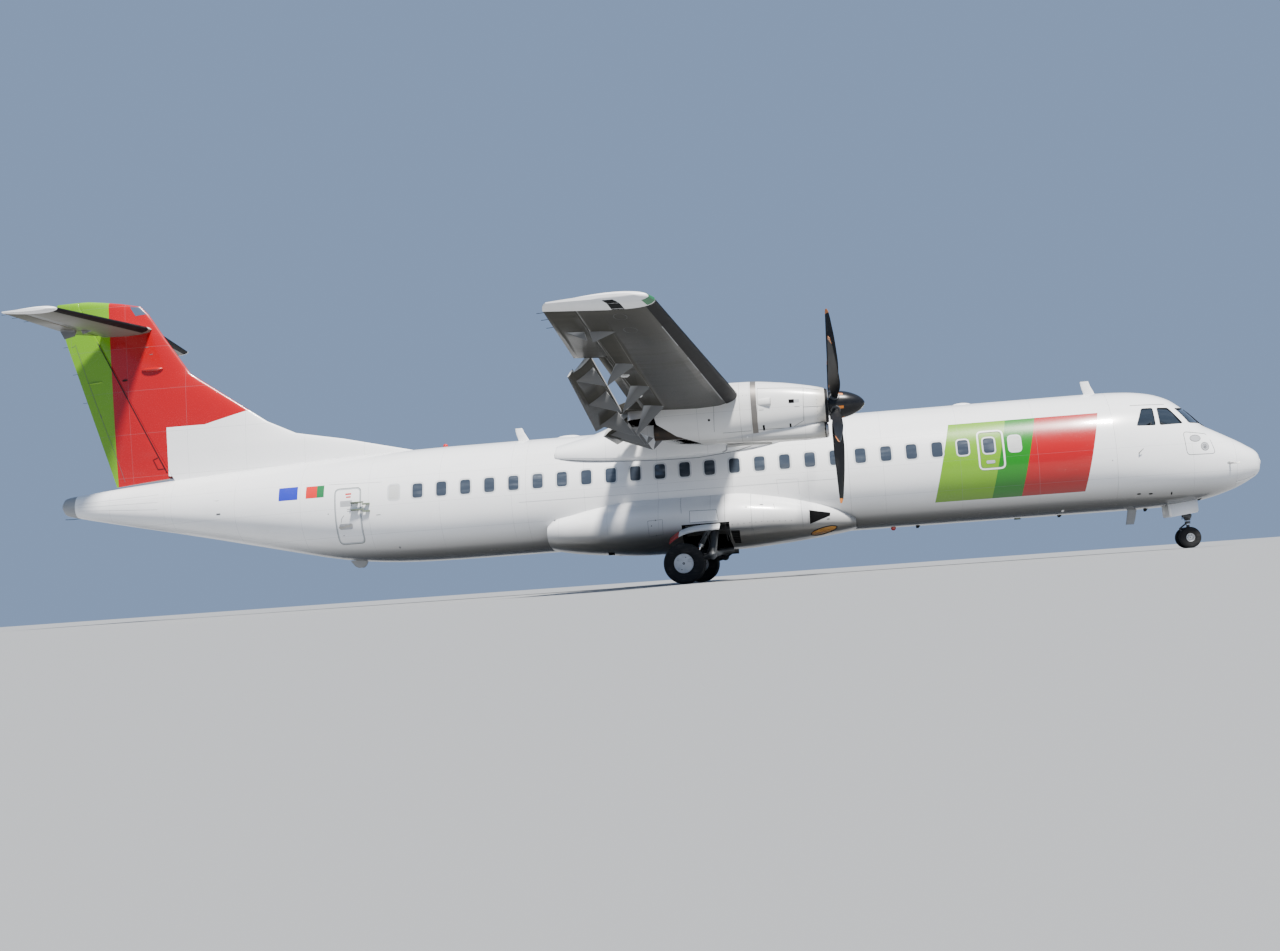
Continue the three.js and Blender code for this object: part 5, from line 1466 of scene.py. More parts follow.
def propellers():
    for name, side in SIDES.items():
        body = name + "_propeller"
        centre = place(BLADE_STATION, side * NACELLE_Y, PROPELLER_Z)
        made = blades(0.2, BLADE_TIP, 0.06, centre)
        piece(made, "blades_" + name, body, blade_finish, 50)
        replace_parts(made, "propeller_" + name)
        detail(blades(BLADE_TIP, BLADE_END, 0.02, centre), "blade_tips_" + name, marking_orange, body, 50)
        tip = place(SPINNER_FRONT, side * NACELLE_Y, PROPELLER_Z)
        backs = [0.0005, 0.003, 0.008, 0.016, *stations_between(0.03, 0.7, 0.03)]
        cone = turned([(b, spinner_radius(b)) for b in backs], tip, (-1, 0, 0), 72)
        piece(cone, f"spinner_{name}_dressed", body, spinner_finish, 45)
        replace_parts(cone, "spinner_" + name)
        collars, marks = [], []
        for k in range(BLADE_COUNT):
            turn = blade_turn(k)
            out = Vector((0, math.sin(turn), math.cos(turn)))
            collars.append(turned(BLADE_COLLAR, centre, out, 28))
            marks.append(round_patch(spinner_radius, tip, (0.42, 0.52), turn + 0.18, 0.10, 0.0035))
        detail(joined(collars), "blade_collars_" + name, collar_grey, body)
        detail(joined(marks), "spinner_marks_" + name, marking_orange, body)


def round_patch(radius_at, tip, backs, turn, spread, lift, depth=0.002):
    """A small plate on a form that is round about the X axis, in the direction turn from upright."""
    rows = []
    for i in range(5):
        back = backs[0] + (backs[1] - backs[0]) * i / 4
        radius = radius_at(back) + lift
        angles = [turn + spread * (j / 4 - 0.5) * 2 for j in range(5)]
        rows.append([tip + Vector((-back, radius * math.sin(a), radius * math.cos(a))) for a in angles])
    out = Vector((0, math.sin(turn), math.cos(turn)))
    return thick(facing(sheet(rows, closed=False), out), depth)


propellers()

# Small pieces on the body's sides. Stations and heights are measured on the starboard side.


def outline_piece(name, material, side, outlines, width=None, body="airframe", **where):
    """One piece made of several plates or frames on a side."""
    made = [on_side(side, outline, width=width, **where) for outline in outlines]
    return detail(joined(made), name, material, body, 30)


def line_piece(name, material, side, lines, width=0.007, body="airframe", **where):
    made = [line_on(side, points, width, **where) for points in lines]
    return detail(joined(made), name, material, body, 30)


SERVICE_PANEL = [(1.745, 2.470), (1.175, 2.400), (1.075, 1.955), (1.715, 1.955)]
FITTING = (1.300, 2.125)
NOSE_STRIP = [(0.62, 1.330), (0.45, 1.358), (0.25, 1.425), (0.13, 1.480)]
PITOT_PROBE = [(0.79, 0.735, 1.745), (0.775, 0.80, 1.735), (0.70, 0.835, 1.73), (0.58, 0.84, 1.73)]
ANGLE_VANE = [(2.74, -0.01, 2.07), (2.72, 0.05, 2.085), (2.65, 0.055, 2.15)]  # station, way out, height
STATIC_PORTS = [(2.75, 1.215, (0.045, 0.014)), (2.50, 1.203, (0.045, 0.014)), (2.054, 1.183, (0.016, 0.03))]
RAISED = SKIN_LIFT + 0.002
ON_TOP = RAISED + 0.002
PAINTED = {"out": RAISED, "depth": 0.001}


def nose_details():
    """The service panel and fittings of the starboard side, and what both sides of the nose carry."""
    outline_piece("service_panel_edge", panel_line, -1, [rounded(SERVICE_PANEL, 0.09)], 0.011, out=RAISED)
    oval = disc(1.49, 2.31, (0.125, 0.075), 24)
    outline_piece("service_recess", recess_grey, -1, [oval], **PAINTED)
    outline_piece("service_recess_edge", panel_line, -1, [oval], 0.010, out=ON_TOP)
    rings = [disc(*FITTING, 0.092, 24), disc(*FITTING, 0.050, 20)]
    outline_piece("oxygen_fitting_edges", panel_line, -1, rings, 0.010, out=ON_TOP)
    outline_piece("oxygen_fitting", recess_grey, -1, [disc(*FITTING, 0.085, 20)], **PAINTED)
    outline_piece("oxygen_fitting_cap", bare_metal, -1, [disc(*FITTING, 0.022)], out=0.02, depth=0.018)
    for name, side in SIDES.items():
        probe = tube([(st, side * y, z) for st, y, z in PITOT_PROBE], [0.022, 0.018, 0.012, 0.006])
        detail(probe, "pitot_probe_" + name, bare_metal)
        outline_piece("pitot_base_" + name, grey_paint, side, [disc(0.80, 1.745, (0.045, 0.028))], out=0.01)
        line_piece("lightning_strip_" + name, marking_white, side, [NOSE_STRIP], 0.020, out=ON_TOP)
        surface = body_reach(2.73, 2.075, 0.0)
        root, elbow, end = [(st, side * (surface + out), z) for st, out, z in ANGLE_VANE]
        arms = [tube([root, elbow], [0.016, 0.010]), tube([elbow, end], [0.011, 0.006])]
        detail(joined(arms), "angle_vane_" + name, bare_metal)
        # The static ports are dark spots: painted shade in their holes.
        ports = [disc(*port) for port in STATIC_PORTS]
        outline_piece("static_ports_" + name, painted_cavity_shade, side, ports, out=0.009)
        seals = [rounded(outline, PANE_CORNER) for outline in PANES.values()]
        outline_piece("pane_seals_" + name, seal_black, side, seals, 0.013, out=0.0075, depth=0.009)
        line_piece("pane_drips_" + name, panel_line, side, [[(2.76, 3.115), (2.0, 3.105)]], 0.012)
    windscreen_parts()


def screen_point(y, z, out):
    """A point of the nose ahead of the cockpit, where y and z are given and the station is found."""
    near, far = 0.8, 2.6
    for _ in range(40):
        middle = (near + far) / 2
        top = body_section(middle)[1]
        inside = z < top + out and body_reach(middle, z, out) > abs(y)
        near, far = (near, middle) if inside else (middle, far)
    return place(far, y, z)


# The wipers' arm and blade: the y and height of two ends, distance off the glass, radius
WIPER = [
    ((0.30, 2.60), (0.13, 2.95), 0.022, 0.008),
    ((0.155, 2.68), (0.13, 3.0), 0.016, 0.0065),
]


def windscreen_parts():
    """Seals round the two windscreens and the wipers."""
    seals, wipers = [], []
    for side in SIDES.values():
        outline = finer([Vector(p) for p in rounded(WINDSCREEN, WINDSCREEN_CORNER)], 0.06)
        inner = drawn_in(outline, 0.014)
        rows = [[screen_point(side * y, z, 0.0075) for y, z in edge] for edge in (inner, outline)]
        seals.append(thick(facing(sheet(rows), (1, 0, 0.4)), 0.009))
        for start, end, above, radius in WIPER:
            spots = [Vector(start).lerp(Vector(end), k / 6) for k in range(7)]
            points = [screen_point(side * y, z, above) for y, z in spots]
            wipers.append(tube([(x_at(p.x), p.y, p.z) for p in points], radius, 8))
    detail(joined(seals), "windscreen_seals", seal_black, angle=30)
    detail(joined(wipers), "wipers", seal_black)


# Upright blades on the roof and under the body: finish, points round, and rows of height, front, rear and
# half thickness
UPRIGHTS = {
    "roof_antenna_forward": (
        marking_white,
        16,
        [(3.50, 3.31, 3.55, 0.022), (3.70, 3.40, 3.60, 0.018), (3.80, 3.43, 3.61, 0.010)],
    ),
    "roof_antenna_aft": (
        marking_white,
        16,
        [(3.49, 15.93, 16.18, 0.022), (3.70, 16.05, 16.24, 0.018), (3.80, 16.09, 16.25, 0.010)],
    ),
    "belly_antenna_forward": (
        grey_paint,
        16,
        [(0.93, 2.64, 2.84, 0.02), (0.72, 2.69, 2.88, 0.016), (0.60, 2.73, 2.905, 0.010)],
    ),
    "tail_bumper": (
        grey_paint,
        20,
        [(1.06, 19.86, 20.30, 0.05), (0.93, 19.92, 20.20, 0.045), (0.885, 19.98, 20.12, 0.03)],
    ),
}
DRAINS = [(2.40, 0.93, 0.07), (4.235, 0.92, 0.05), (7.30, 0.92, 0.06)]  # station, height of the root, depth
ROOF_DOMES = [(15.02, 0.55), (6.2, 0.42)]  # station of the middle, length
BEACONS = [("roof_beacon", 3.50, 17.9, 1), ("belly_beacon", 0.93, 7.9, -1)]  # height, station, up or down
BEACON_BASE = [(-0.01, 0.075), (0.012, 0.075), (0.016, 0.065)]
BEACON_LENS = [(0.0, 0.06), (0.03, 0.058), (0.055, 0.046), (0.07, 0.028), (0.075, 0.008)]


def antennas():
    """What stands on the roof, under the belly and at the tail."""
    for name, (material, count, rows) in UPRIGHTS.items():
        detail(vane(rows, count), name, material)
    drains = []
    for station, z, depth in DRAINS:
        rows = [(z, station, station + 0.11, 0.012), (z - depth, station + 0.05, station + 0.10, 0.006)]
        drains.append(vane(rows))
    detail(joined(drains), "belly_drains", seal_black)
    domes = []
    for station, length in ROOF_DOMES:
        rings = []
        for angle in half_turn(8):
            half, rise = 0.13 * math.sin(angle) + 0.002, 0.055 * math.sin(angle)
            at = station - length / 2 * math.cos(angle)
            arch = [place(at, half * math.cos(a), 3.495 + rise * math.sin(a)) for a in half_turn(12)]
            rings.append(arch + [place(at, -half, 3.46), place(at, half, 3.46)])
        domes.append(solid(rings))
    detail(joined(domes), "roof_navigation_domes", marking_white)
    for name, z, station, way in BEACONS:
        upwards = (0, 0, way)
        detail(turned(BEACON_BASE, place(station, 0, z), upwards, 28), name + "_base", bare_metal, angle=35)
        detail(turned(BEACON_LENS, place(station, 0, z + way * 0.01), upwards, 28), name, red_lens)
    detail(tube([(26.75, 0, 2.53), (26.95, 0, 2.515), (27.16, 0, 2.525)], 0.006, 8), "tail_probe", seal_black)


# Plain colour plates: stations and heights
PLATES = {
    "blue": (marking_blue, (21.085, 21.545, 2.49, 2.785)),
    "red": (marking_red, (20.62, 20.885, 2.495, 2.765)),
    "green": (marking_green, (20.45, 20.62, 2.495, 2.765)),
}


def side_markings():
    """Plain colour plates, marks and fastener spots along both sides."""
    for name, side in SIDES.items():
        for label, (material, edges) in PLATES.items():
            outline_piece(f"{label}_plate_{name}", material, side, [rectangle(*edges)], **PAINTED)
        marks = [rectangle(23.0, 23.10, 2.30, 2.335), disc(18.83, 1.251, 0.02), disc(20.353, 2.105, 0.012)]
        marks += [disc(3.30, 1.95, 0.01), rectangle(19.13, 19.23, 1.995, 2.005)]
        outline_piece("side_marks_" + name, panel_line, side, marks, **PAINTED)
        spots = [disc(4.30, 0.985, (0.03, 0.02)), disc(23.08, 2.64, (0.05, 0.012))]
        outline_piece("side_spots_" + name, marking_white, side, spots, out=RAISED + 0.004)
        over_door = 2.73 if side < 0 else 3.28
        seam_lines = [
            [(16.0, 2.03), (9.0, 2.01)],
            [(19.1, over_door), (20.35, over_door + 0.04)],
            [(9.883, 1.745), (9.893, 2.072), (10.352, 2.09), (10.328, 1.779)],
        ]
        line_piece("side_seams_" + name, faint_line, side, seam_lines, 0.006)
        tail_lines = [[(24.6, z), (26.7, 2.80 + (z - 2.80) * 0.45)] for z in (2.55, 2.72, 2.90)]
        line_piece("tail_cone_seams_" + name, faint_line, side, tail_lines, 0.005)


# The recess round each door's handle: stations and heights
HANDLE_RECESS = {
    "service_door": (19.80, 20.12, 1.73, 1.86),
    "passenger_door": (19.55, 19.83, 2.05, 2.17),
    "cargo_door": (3.95, 4.20, 1.60, 1.72),
}
HANDLE_OUT = 0.022
SERVICE_HANDLE = [(20.13, 1.782), (20.02, 1.775), (19.95, 1.80), (19.88, 1.80), (19.81, 1.835)]
SERVICE_MARKS = [
    [(20.068, 1.878), (20.04, 1.984), (19.983, 2.04)],
    [(19.90, 2.17), (19.83, 2.175)],
    [(19.90, 2.13), (19.83, 2.135)],
    [(20.07, 1.60), (20.03, 1.60)],
]


def door_details():
    """Handles, plates and outlines of the doors and of the emergency exits."""
    for name, (front, back, foot, head) in HANDLE_RECESS.items():
        side, body = DOORS[name][0], name + "_body"
        edge = door_outline(name, DOOR_GAP, 8)
        outline_piece(name + "_edge", door_grey, side, [edge], 0.028, body, **PAINTED)
        recess = rounded(rectangle(front, back, foot, head), 0.05)
        outline_piece(name + "_recess", recess_grey, side, [recess], None, body, **PAINTED)
        middle = (foot + head) / 2
        handle, width = [(front + 0.04, middle), (back - 0.04, middle)], 0.03
        if name == "service_door":
            handle, width = SERVICE_HANDLE, 0.035
        line_piece(name + "_handle", bare_metal, side, [handle], width, body, out=HANDLE_OUT)
    plate = rectangle(19.78, 20.06, 2.24, 2.37)
    outline_piece("service_door_plate", recess_grey, -1, [plate], None, "service_door_body", **PAINTED)
    line_piece("service_door_marks", panel_line, -1, SERVICE_MARKS, 0.010, "service_door_body")
    red = [rectangle(19.80, 19.94, 2.50, 2.535), rectangle(19.81, 19.92, 2.435, 2.465)]
    outline_piece("service_door_red_marks", marking_red, -1, red, None, "service_door_body", **PAINTED)
    for name, side in SIDES.items():
        plate = rounded(rectangle(5.72, 5.90, 2.08, 2.15), 0.03)
        outline_piece("exit_handle_" + name, recess_grey, side, [plate], out=ON_TOP, depth=0.002)
        inner = rounded(rectangle(5.54, 6.02, 1.99, 2.76), 0.10, 8)
        outline_piece("exit_seam_" + name, panel_line, side, [inner], 0.006, out=ON_TOP, depth=0.001)


nose_details()
antennas()
side_markings()
door_details()

# Belly fairing
belly_section = smooth_sections(BELLY_FAIRING)
belly_reach = reach_of(belly_section, BELLY_ROUND, BELLY_ROUND)
BELLY_LIFT = 0.006
BAY_PANEL = [(12.235, 1.545), (11.655, 1.530), (11.625, 1.285), (12.24, 1.285)]
VENT_GRILLE = [(11.385, 1.060), (11.195, 1.048), (11.205, 0.790), (11.340, 0.795)]
VENT_PANEL = [(11.455, 1.090), (10.905, 1.082), (10.885, 0.770), (11.400, 0.765)]
AIR_INLET = [(9.705, 1.380), (9.262, 1.300), (9.268, 1.235), (9.705, 1.085)]
LIGHT_OVAL = (9.42, 0.932, 0.27, 0.052, 0.20)  # station, height, half length, half height, slope
FAIRING_SEAMS = [
    [(12.435, 1.86), (12.41, 1.50)],
    [(11.481, 1.93), (11.490, 1.30), (11.47, 0.85)],
    [(10.925, 1.90), (10.925, 1.15), (10.97, 0.80)],
    [(9.872, 1.72), (9.853, 1.08), (9.88, 0.84)],
    [(13.139, 1.39), (12.82, 1.40), (12.826, 1.08), (13.126, 1.05), (13.139, 1.39)],
    [(10.45, 1.57), (10.42, 1.46)],
]
FAIRING_SPOTS = [(10.728, 0.80), (13.06, 1.28), (12.968, 1.394), (12.975, 1.068)]


def light_outline(grow):
    station, z, wide, high, rise = LIGHT_OVAL
    spots = disc(0, 0, (wide + grow, high + grow), 28)
    return [(station + a, z + b - a * rise) for a, b in spots]


def belly_details():
    flat = {"reach": belly_reach, "out": BELLY_LIFT, "depth": 0.001}
    raised = {"reach": belly_reach, "out": BELLY_LIFT + 0.001, "depth": 0.002}
    plates = [
        # The vent grille and the cooling inlet are dark plates: painted shade in their openings.
        ("vent_grille_", painted_cavity_shade, VENT_GRILLE),
        ("cooling_inlet_", painted_cavity_shade, AIR_INLET),
        ("landing_light_rim_", seal_black, light_outline(0.022)),
    ]
    slats = []
    for k in range(7):
        slats.append([(11.372 - 0.007 * k, 1.035 - 0.036 * k), (11.205 + 0.001 * k, 1.022 - 0.034 * k)])
    lip = [(9.72, 1.07), (9.71, 1.395), (9.26, 1.312)]
    lines = [
        ("vent_slats_", seal_black, slats, 0.012, 0.008),
        ("cooling_inlet_lip_", fairing_paint, [lip], 0.02, 0.010),
        ("fairing_seams_", panel_line, FAIRING_SEAMS, 0.006, 0.0),
    ]
    spots = [disc(11.34 - 0.125 * k, 1.204 - 0.004 * abs(k - 5), 0.009, 8) for k in range(11)]
    spots += [disc(st, z, 0.014, 8) for st, z in FAIRING_SPOTS]
    spots += [disc(10.70, 1.568, (0.04, 0.012), 10), disc(9.312, 1.165, (0.035, 0.018), 10)]
    for name, side in SIDES.items():
        edges = [BAY_PANEL, rounded(VENT_PANEL, 0.02)]
        outline_piece("fairing_panel_edges_" + name, panel_line, side, edges, 0.008, **flat)
        for label, material, outline in plates:
            outline_piece(label + name, material, side, [outline], **raised)
        for label, material, points, width, above in lines:
            line_piece(label + name, material, side, points, width, out=BELLY_LIFT + above, reach=belly_reach)
        lens = {"reach": belly_reach, "out": BELLY_LIFT + 0.007, "depth": 0.003}
        outline_piece("landing_light_" + name, amber_glass, side, [light_outline(0.0)], **lens)
        outline_piece("fairing_fasteners_" + name, panel_line, side, spots, **flat)
        lamp = disc(11.024, 1.551, (0.03, 0.018), 10)
        light = {"reach": belly_reach, "out": BELLY_LIFT + 0.006}
        outline_piece("fairing_light_" + name, marking_white, side, [lamp], **light)


belly_details()

# Nacelles
nacelle_section = smooth_sections(NACELLE)
NACELLE_LIFT = 0.0065
COWL_PANEL = [(10.50, 3.745), (9.60, 3.690), (9.642, 3.040), (9.876, 2.920), (10.55, 2.925)]
COWL_SEAMS = [
    [*COWL_PANEL, COWL_PANEL[0]],
    [(11.371, 3.50), (11.39, 3.20), (11.402, 2.95)],
    [(11.239, 2.915), (10.674, 2.915)],
    [(10.50, 3.30), (10.40, 3.30)],
    [(9.796, 3.317), (9.698, 3.311)],
    [(9.60, 3.69), (9.28, 3.625)],
    [(9.63, 3.30), (9.26, 3.295)],
]
POD_FRONT = 10.3
POD_LENGTH = 0.9
# The intake's lip: station, distance out
INTAKE_LIP = [
    (9.215, 0.006), (9.19, 0.006), (9.168, -0.002), (9.160, -0.014), (9.168, -0.028), (9.22, -0.036)
]


def nacelle_reach(way):
    """The reach of a nacelle's outboard (1) or inboard (-1) side."""
    return reach_of(nacelle_section, NACELLE_ROUND, NACELLE_ROUND, NACELLE_Y, way)


def pod_section(station):
    """Half width, top, widest height and bottom of the pod under a nacelle."""
    return 0.14 * math.sin(math.pi * (station - POD_FRONT) / POD_LENGTH) + 0.01, 2.72, 2.70, 2.655


def blister(side, way, front, rear, z, half_height, bulge):
    """A half teardrop on a nacelle's side, open at its front end."""
    reach = nacelle_reach(way)
    rings = []
    for k in range(9):
        share = k / 8
        station = front + (rear - front) * share
        high = half_height * (1 - 0.25 * share)
        out = bulge * (1 - share) ** 0.7 + 0.003
        ring = []
        for angle in half_turn(12):
            up = z + high * math.cos(angle)
            y = reach(station, up, -0.012) + way * (out + 0.012) * math.sin(angle) ** 0.6
            ring.append(place(station, side * y, up))
        rings.append(ring)
    return solid(rings)


def nacelle_details():
    # Columns: name, material, stations of its rings, distance out, thickness
    bands = [
        ("cowl_strap_", strap_metal, (10.535, 10.59, 10.645), 0.010, 0.006),
        ("cowl_front_ring_", seal_black, (9.142, 9.17, 9.20), 0.0065, 0.004),
    ]
    # The cowling's openings and the scoops' mouths are dark plates and caps: painted shade in them.
    openings = [rectangle(9.80, 9.905, 3.395, 3.470), rectangle(10.405, 10.445, 2.905, 3.005)]
    openings += [rectangle(9.885, 9.920, 2.905, 3.00), disc(11.488, 3.184, 0.024)]
    ramp = rectangle(9.70, 9.80, 3.402, 3.462)
    fasteners = [disc(10.72 + 0.075 * k, 3.62 - 0.002 * k, 0.006, 6) for k in range(8)]
    fasteners += [disc(9.36, 3.05 + 0.075 * k, 0.006, 6) for k in range(7)]
    for name, side in SIDES.items():
        centre = side * NACELLE_Y
        for label, material, spots, out, depth in bands:
            rings = [round_hoop(nacelle_section, st, out, 72, NACELLE_ROUND, centre) for st in spots]
            detail(thick(sheet(rings), depth), label + name, material, angle=35)
        scoops, mouths = [], []
        for way in (1, -1):
            label = f"{name}_{'outboard' if way > 0 else 'inboard'}"
            skin = {"reach": nacelle_reach(way), "way": way, "out": NACELLE_LIFT}
            scoops.append(blister(side, way, 10.265, 10.52, 3.455, 0.088, 0.055))
            mouths.append(blister(side, way, 10.258, 10.30, 3.455, 0.078, 0.046))
            outline_piece("cowl_openings_" + label, painted_cavity_shade, side, openings, depth=0.001, **skin)
            outline_piece("cowl_inlet_ramp_" + label, recess_grey, side, [ramp], depth=0.001, **skin)
            line_piece("cowl_seams_" + label, panel_line, side, COWL_SEAMS, 0.006, **skin)
            outline_piece("cowl_fasteners_" + label, panel_line, side, fasteners, depth=0.001, **skin)
        detail(joined(scoops), "cowl_scoops_" + name, nacelle_paint)
        detail(joined(mouths), "cowl_scoop_mouths_" + name, painted_cavity_shade)
        intake_lip(name, side)
        run = [(11.2, centre, 2.70), (11.22, centre, 2.60), (11.30, centre, 2.57)]
        detail(tube(run, [0.02, 0.018, 0.014]), "drain_mast_" + name, grey_paint)
        spots = stations_between(POD_FRONT, POD_FRONT + POD_LENGTH, 0.09)
        pod = solid([round_hoop(pod_section, st, 0, 24, 2, centre) for st in spots])
        detail(pod, "lower_pod_" + name, nacelle_paint)
        reach = reach_of(smooth_sections(INTAKE), INTAKE_ROUND, INTAKE_ROUND, NACELLE_Y)
        lamp = on_side(side, disc(10.764, 2.80, 0.018), 0.012, reach=reach)
        detail(lamp, "cowl_light_" + name, marking_white)


def intake_lip(name, side):
    """A rounded lip round the mouth of the intake under the spinner, and a dark lining in the mouth as
    painted shade.
    """
    section = smooth_sections(INTAKE)
    centre = side * NACELLE_Y
    rings = []
    for station, out in INTAKE_LIP:
        ring = round_hoop(section, max(station, INTAKE[0][0]), out, 48, INTAKE_ROUND, centre)
        for p in ring:
            p.x = x_at(station)
        rings.append(ring)
    detail(thick(sheet(rings), 0.002), "intake_lip_" + name, bare_metal, angle=50)
    lining = [round_hoop(section, st, -0.040, 48, INTAKE_ROUND, centre) for st in (9.20, 9.40, 9.60)]
    tunnel = sheet([*lining, [middle_of(lining[-1])] * 48])
    edit(tunnel, outwards)
    detail(tunnel, "intake_lining_" + name, painted_cavity_shade)


nacelle_details()

# Wing and tail details


def wing_line(y, fraction, above=0.0):
    """The station and height of a point above the wing's chord line."""
    station, chord, _, z, twist, _ = blend_rows(WING, y)
    back = chord * fraction
    return station + back, z - back * math.tan(math.radians(twist)) + above


def foil_patch(table, side, corners, upper, out, depth=0.003, count=6):
    """A plate on a wing between four corners given in order as (y, chord fraction)."""
    a, b, c, d = [Vector(corner) for corner in corners]
    rows = []
    for i in range(count + 1):
        start, end = a.lerp(b, i / count), d.lerp(c, i / count)
        spots = [start.lerp(end, k / count) for k in range(count + 1)]
        rows.append([foil_point(table, side * y, f, upper, out) for y, f in spots])
    return thick(facing(sheet(rows, closed=False), (0, 0, 1 if upper else -1)), depth)


def foil_outline(table, side, spots, upper, out, width):
    """A closed line on a wing, through (y, chord fraction) points."""
    rows = []
    middle = middle_of(spots)
    for grow in (0.0, 1.0):
        row = []
        for spot in spots:
            away = Vector(spot) - middle
            size = Vector((away.x, away.y * 1.8)).length
            y, f = middle + away * (1 + grow * width / size)
            row.append(foil_point(table, side * y, f, upper, out))
        rows.append(row)
    return thick(facing(sheet(rows), (0, 0, 1 if upper else -1)), 0.001)


def tip_sleeve(table, side, ys, lift=0.004, count=24):
    """A cap over a wing's tip."""
    return solid([wrap(table, side * y, 1.0, count, lift) for y in ys])


def hull(points, grow=0.0, bevel=0.006):
    """The convex solid round points given as (station, y, z)."""
    spots = [place(*p) for p in points]
    obj = sheet([spots, spots], closed=False)
    edit(obj, bpy.ops.mesh.convex_hull, outwards)
    if grow:
        applied(obj, "DISPLACE", strength=grow, mid_level=0.0)
    return applied(obj, "BEVEL", width=bevel, segments=2, limit_method="ANGLE", angle_limit=math.radians(28))


def beside(y, points, way=1):
    """Points given as (station, distance across, z), moved to a place across the aircraft."""
    return [(s, y + way * dy, z) for s, dy, z in points]


FLAPS = {"inboard": (1.450, 3.640, [1.980, 3.300]), "outboard": (4.625, 9.850, [5.000, 7.150, 9.250])}
FLAP_SETTING = 35
FAIRING_HALF = 0.105
FAIRING_KEEL = 0.014


def flap_hinge(y):
    share = max(0.0, (y - 4.6) / 5.3)
    return wing_line(y, 0.785, -0.650 + share * 0.290)


def fairing_halves(y):
    """The corners of a flap bracket's two halves, fixed and moving, as (station, distance across, z)."""
    pin, pin_z = flap_hinge(y)
    chord, ratio = blend_rows(WING, y)[1:3]
    half = chord * ratio * foil_half(0.6)
    front, front_z = wing_line(y, 0.55, -0.55 * half)
    rear, rear_z = wing_line(y, 0.96, 0.010)
    fixed = [(front, 0, front_z - 0.060), (front + 0.040, 0, front_z + 0.040)]
    moving = [(rear, 0, rear_z), (rear, 0, rear_z - 0.012)]
    for edge in (-1, 1):
        wide, keel = edge * FAIRING_HALF, edge * FAIRING_KEEL
        ceiling = wing_line(y, 0.6)[1]
        fixed += [(pin - 0.420, wide, ceiling), (pin - 0.250, wide, ceiling)]
        fixed += [(pin - 0.029, keel, pin_z - 0.016), (pin - 0.049, 2 * keel, pin_z + 0.060)]
        front_top, rear_top = wing_line(y, 0.74, -0.020)[1], wing_line(y, 0.74)[1]
        moving += [(pin - 0.020, wide, front_top), (pin + 0.120, wide, rear_top)]
        moving.append((pin + 0.006, keel, pin_z - 0.014))
    return fixed, moving


def flap_fairings():
    for name, side in SIDES.items():
        fixed_parts = []
        for flap, (inner, outer, places) in FLAPS.items():
            (s0, z0), (s1, z1) = flap_hinge(inner), flap_hinge(outer)
            start, end = place(s0, side * inner, z0), place(s1, side * outer, z1)
            axis = (end - start).normalized() * side
            turn = Matrix.Rotation(math.radians(-FLAP_SETTING), 4, axis)
            moving_parts = []
            for y in places:
                fixed, moving = fairing_halves(y)
                fixed_parts.append(hull(beside(side * y, fixed), 0.006))
                made = hull(beside(side * y, moving), 0.006)
                made.data.transform(Matrix.Translation(start) @ turn @ Matrix.Translation(-start))
                moving_parts.append(made)
            body = f"{name}_{flap}_flap"
            detail(joined(moving_parts), f"flap_{flap}_fairings_{name}", flap_fairing_paint, body, 30)
        detail(joined(fixed_parts), "wing_flap_fairings_" + name, flap_fairing_paint, angle=30)


TIP_NOTCH = [(13.325, 0.27), (13.515, 0.27), (13.515, 0.385), (13.325, 0.385)]  # y, chord fraction
# Bracket covers: y, then the corners of the fixed and of the moving part as (station, distance across, z)
AILERON_COVER = (
    11.85,
    [
        (12.28, 0, 3.935), (12.30, 0, 3.975), (12.50, 0.05, 3.99), (12.50, -0.05, 3.99),
        (12.70, 0.045, 3.99), (12.70, -0.045, 3.99), (12.655, 0.012, 3.80), (12.655, -0.012, 3.80),
    ],
    [
        (12.785, 0.045, 4.0), (12.785, -0.045, 4.0), (12.74, 0.012, 3.835), (12.74, -0.012, 3.835),
        (13.09, 0, 4.02), (13.08, 0, 3.985),
    ],
)
ELEVATOR_COVER = (
    1.1,
    [
        (25.74, 0, 6.755), (25.78, 0, 6.80), (26.02, 0.05, 6.80), (26.02, -0.05, 6.80),
        (25.98, 0.014, 6.69), (25.98, -0.014, 6.69),
    ],
    [
        (26.14, 0.05, 6.81), (26.14, -0.05, 6.81), (26.18, 0.014, 6.66), (26.18, -0.014, 6.66),
        (26.43, 0.012, 6.61), (26.43, -0.012, 6.61), (26.53, 0, 6.83), (26.53, 0, 6.80),
    ],
)
DRIVE_COVERS = [(8.3, 12.60), (6.2, 12.62)]  # y, station
WORN_EDGES = [(5.1, 7.9), (8.2, 9.4), (10.4, 11.9)]  # from y to y
WORN_FROM, WORN_TO = 0.0875, 0.094  # chord fractions


def bracket_covers(cover, label, name, side, body):
    y, fixed, moving = cover
    detail(hull(beside(side * y, fixed)), f"{label}_{name}", flap_fairing_paint, angle=30)
    detail(hull(beside(side * y, moving)), f"{label}_rear_{name}", flap_fairing_paint, body, 30)


def wicks(ends, name, body):
    """Thin wires that stand back from an edge, each between two points."""
    detail(joined([tube(pair, 0.004, 6) for pair in ends]), name, seal_black, body)


def drive_cover(side, y, station):
    """A small cover over a flap's drive, under the wing."""
    low = wing_line(y, 0.70)[1] - 0.115
    front, rear, head = station - 0.09, station + 0.10, low + 0.08
    corners = [(front, 0, head)]
    for edge in (-1, 1):
        corners += [(front, edge * 0.03, low + 0.06), (station, edge * 0.07, low)]
        corners += [(rear, edge * 0.06, low + 0.01), (rear, edge * 0.06, head)]
    return hull(beside(side * y, corners), 0, 0.012)


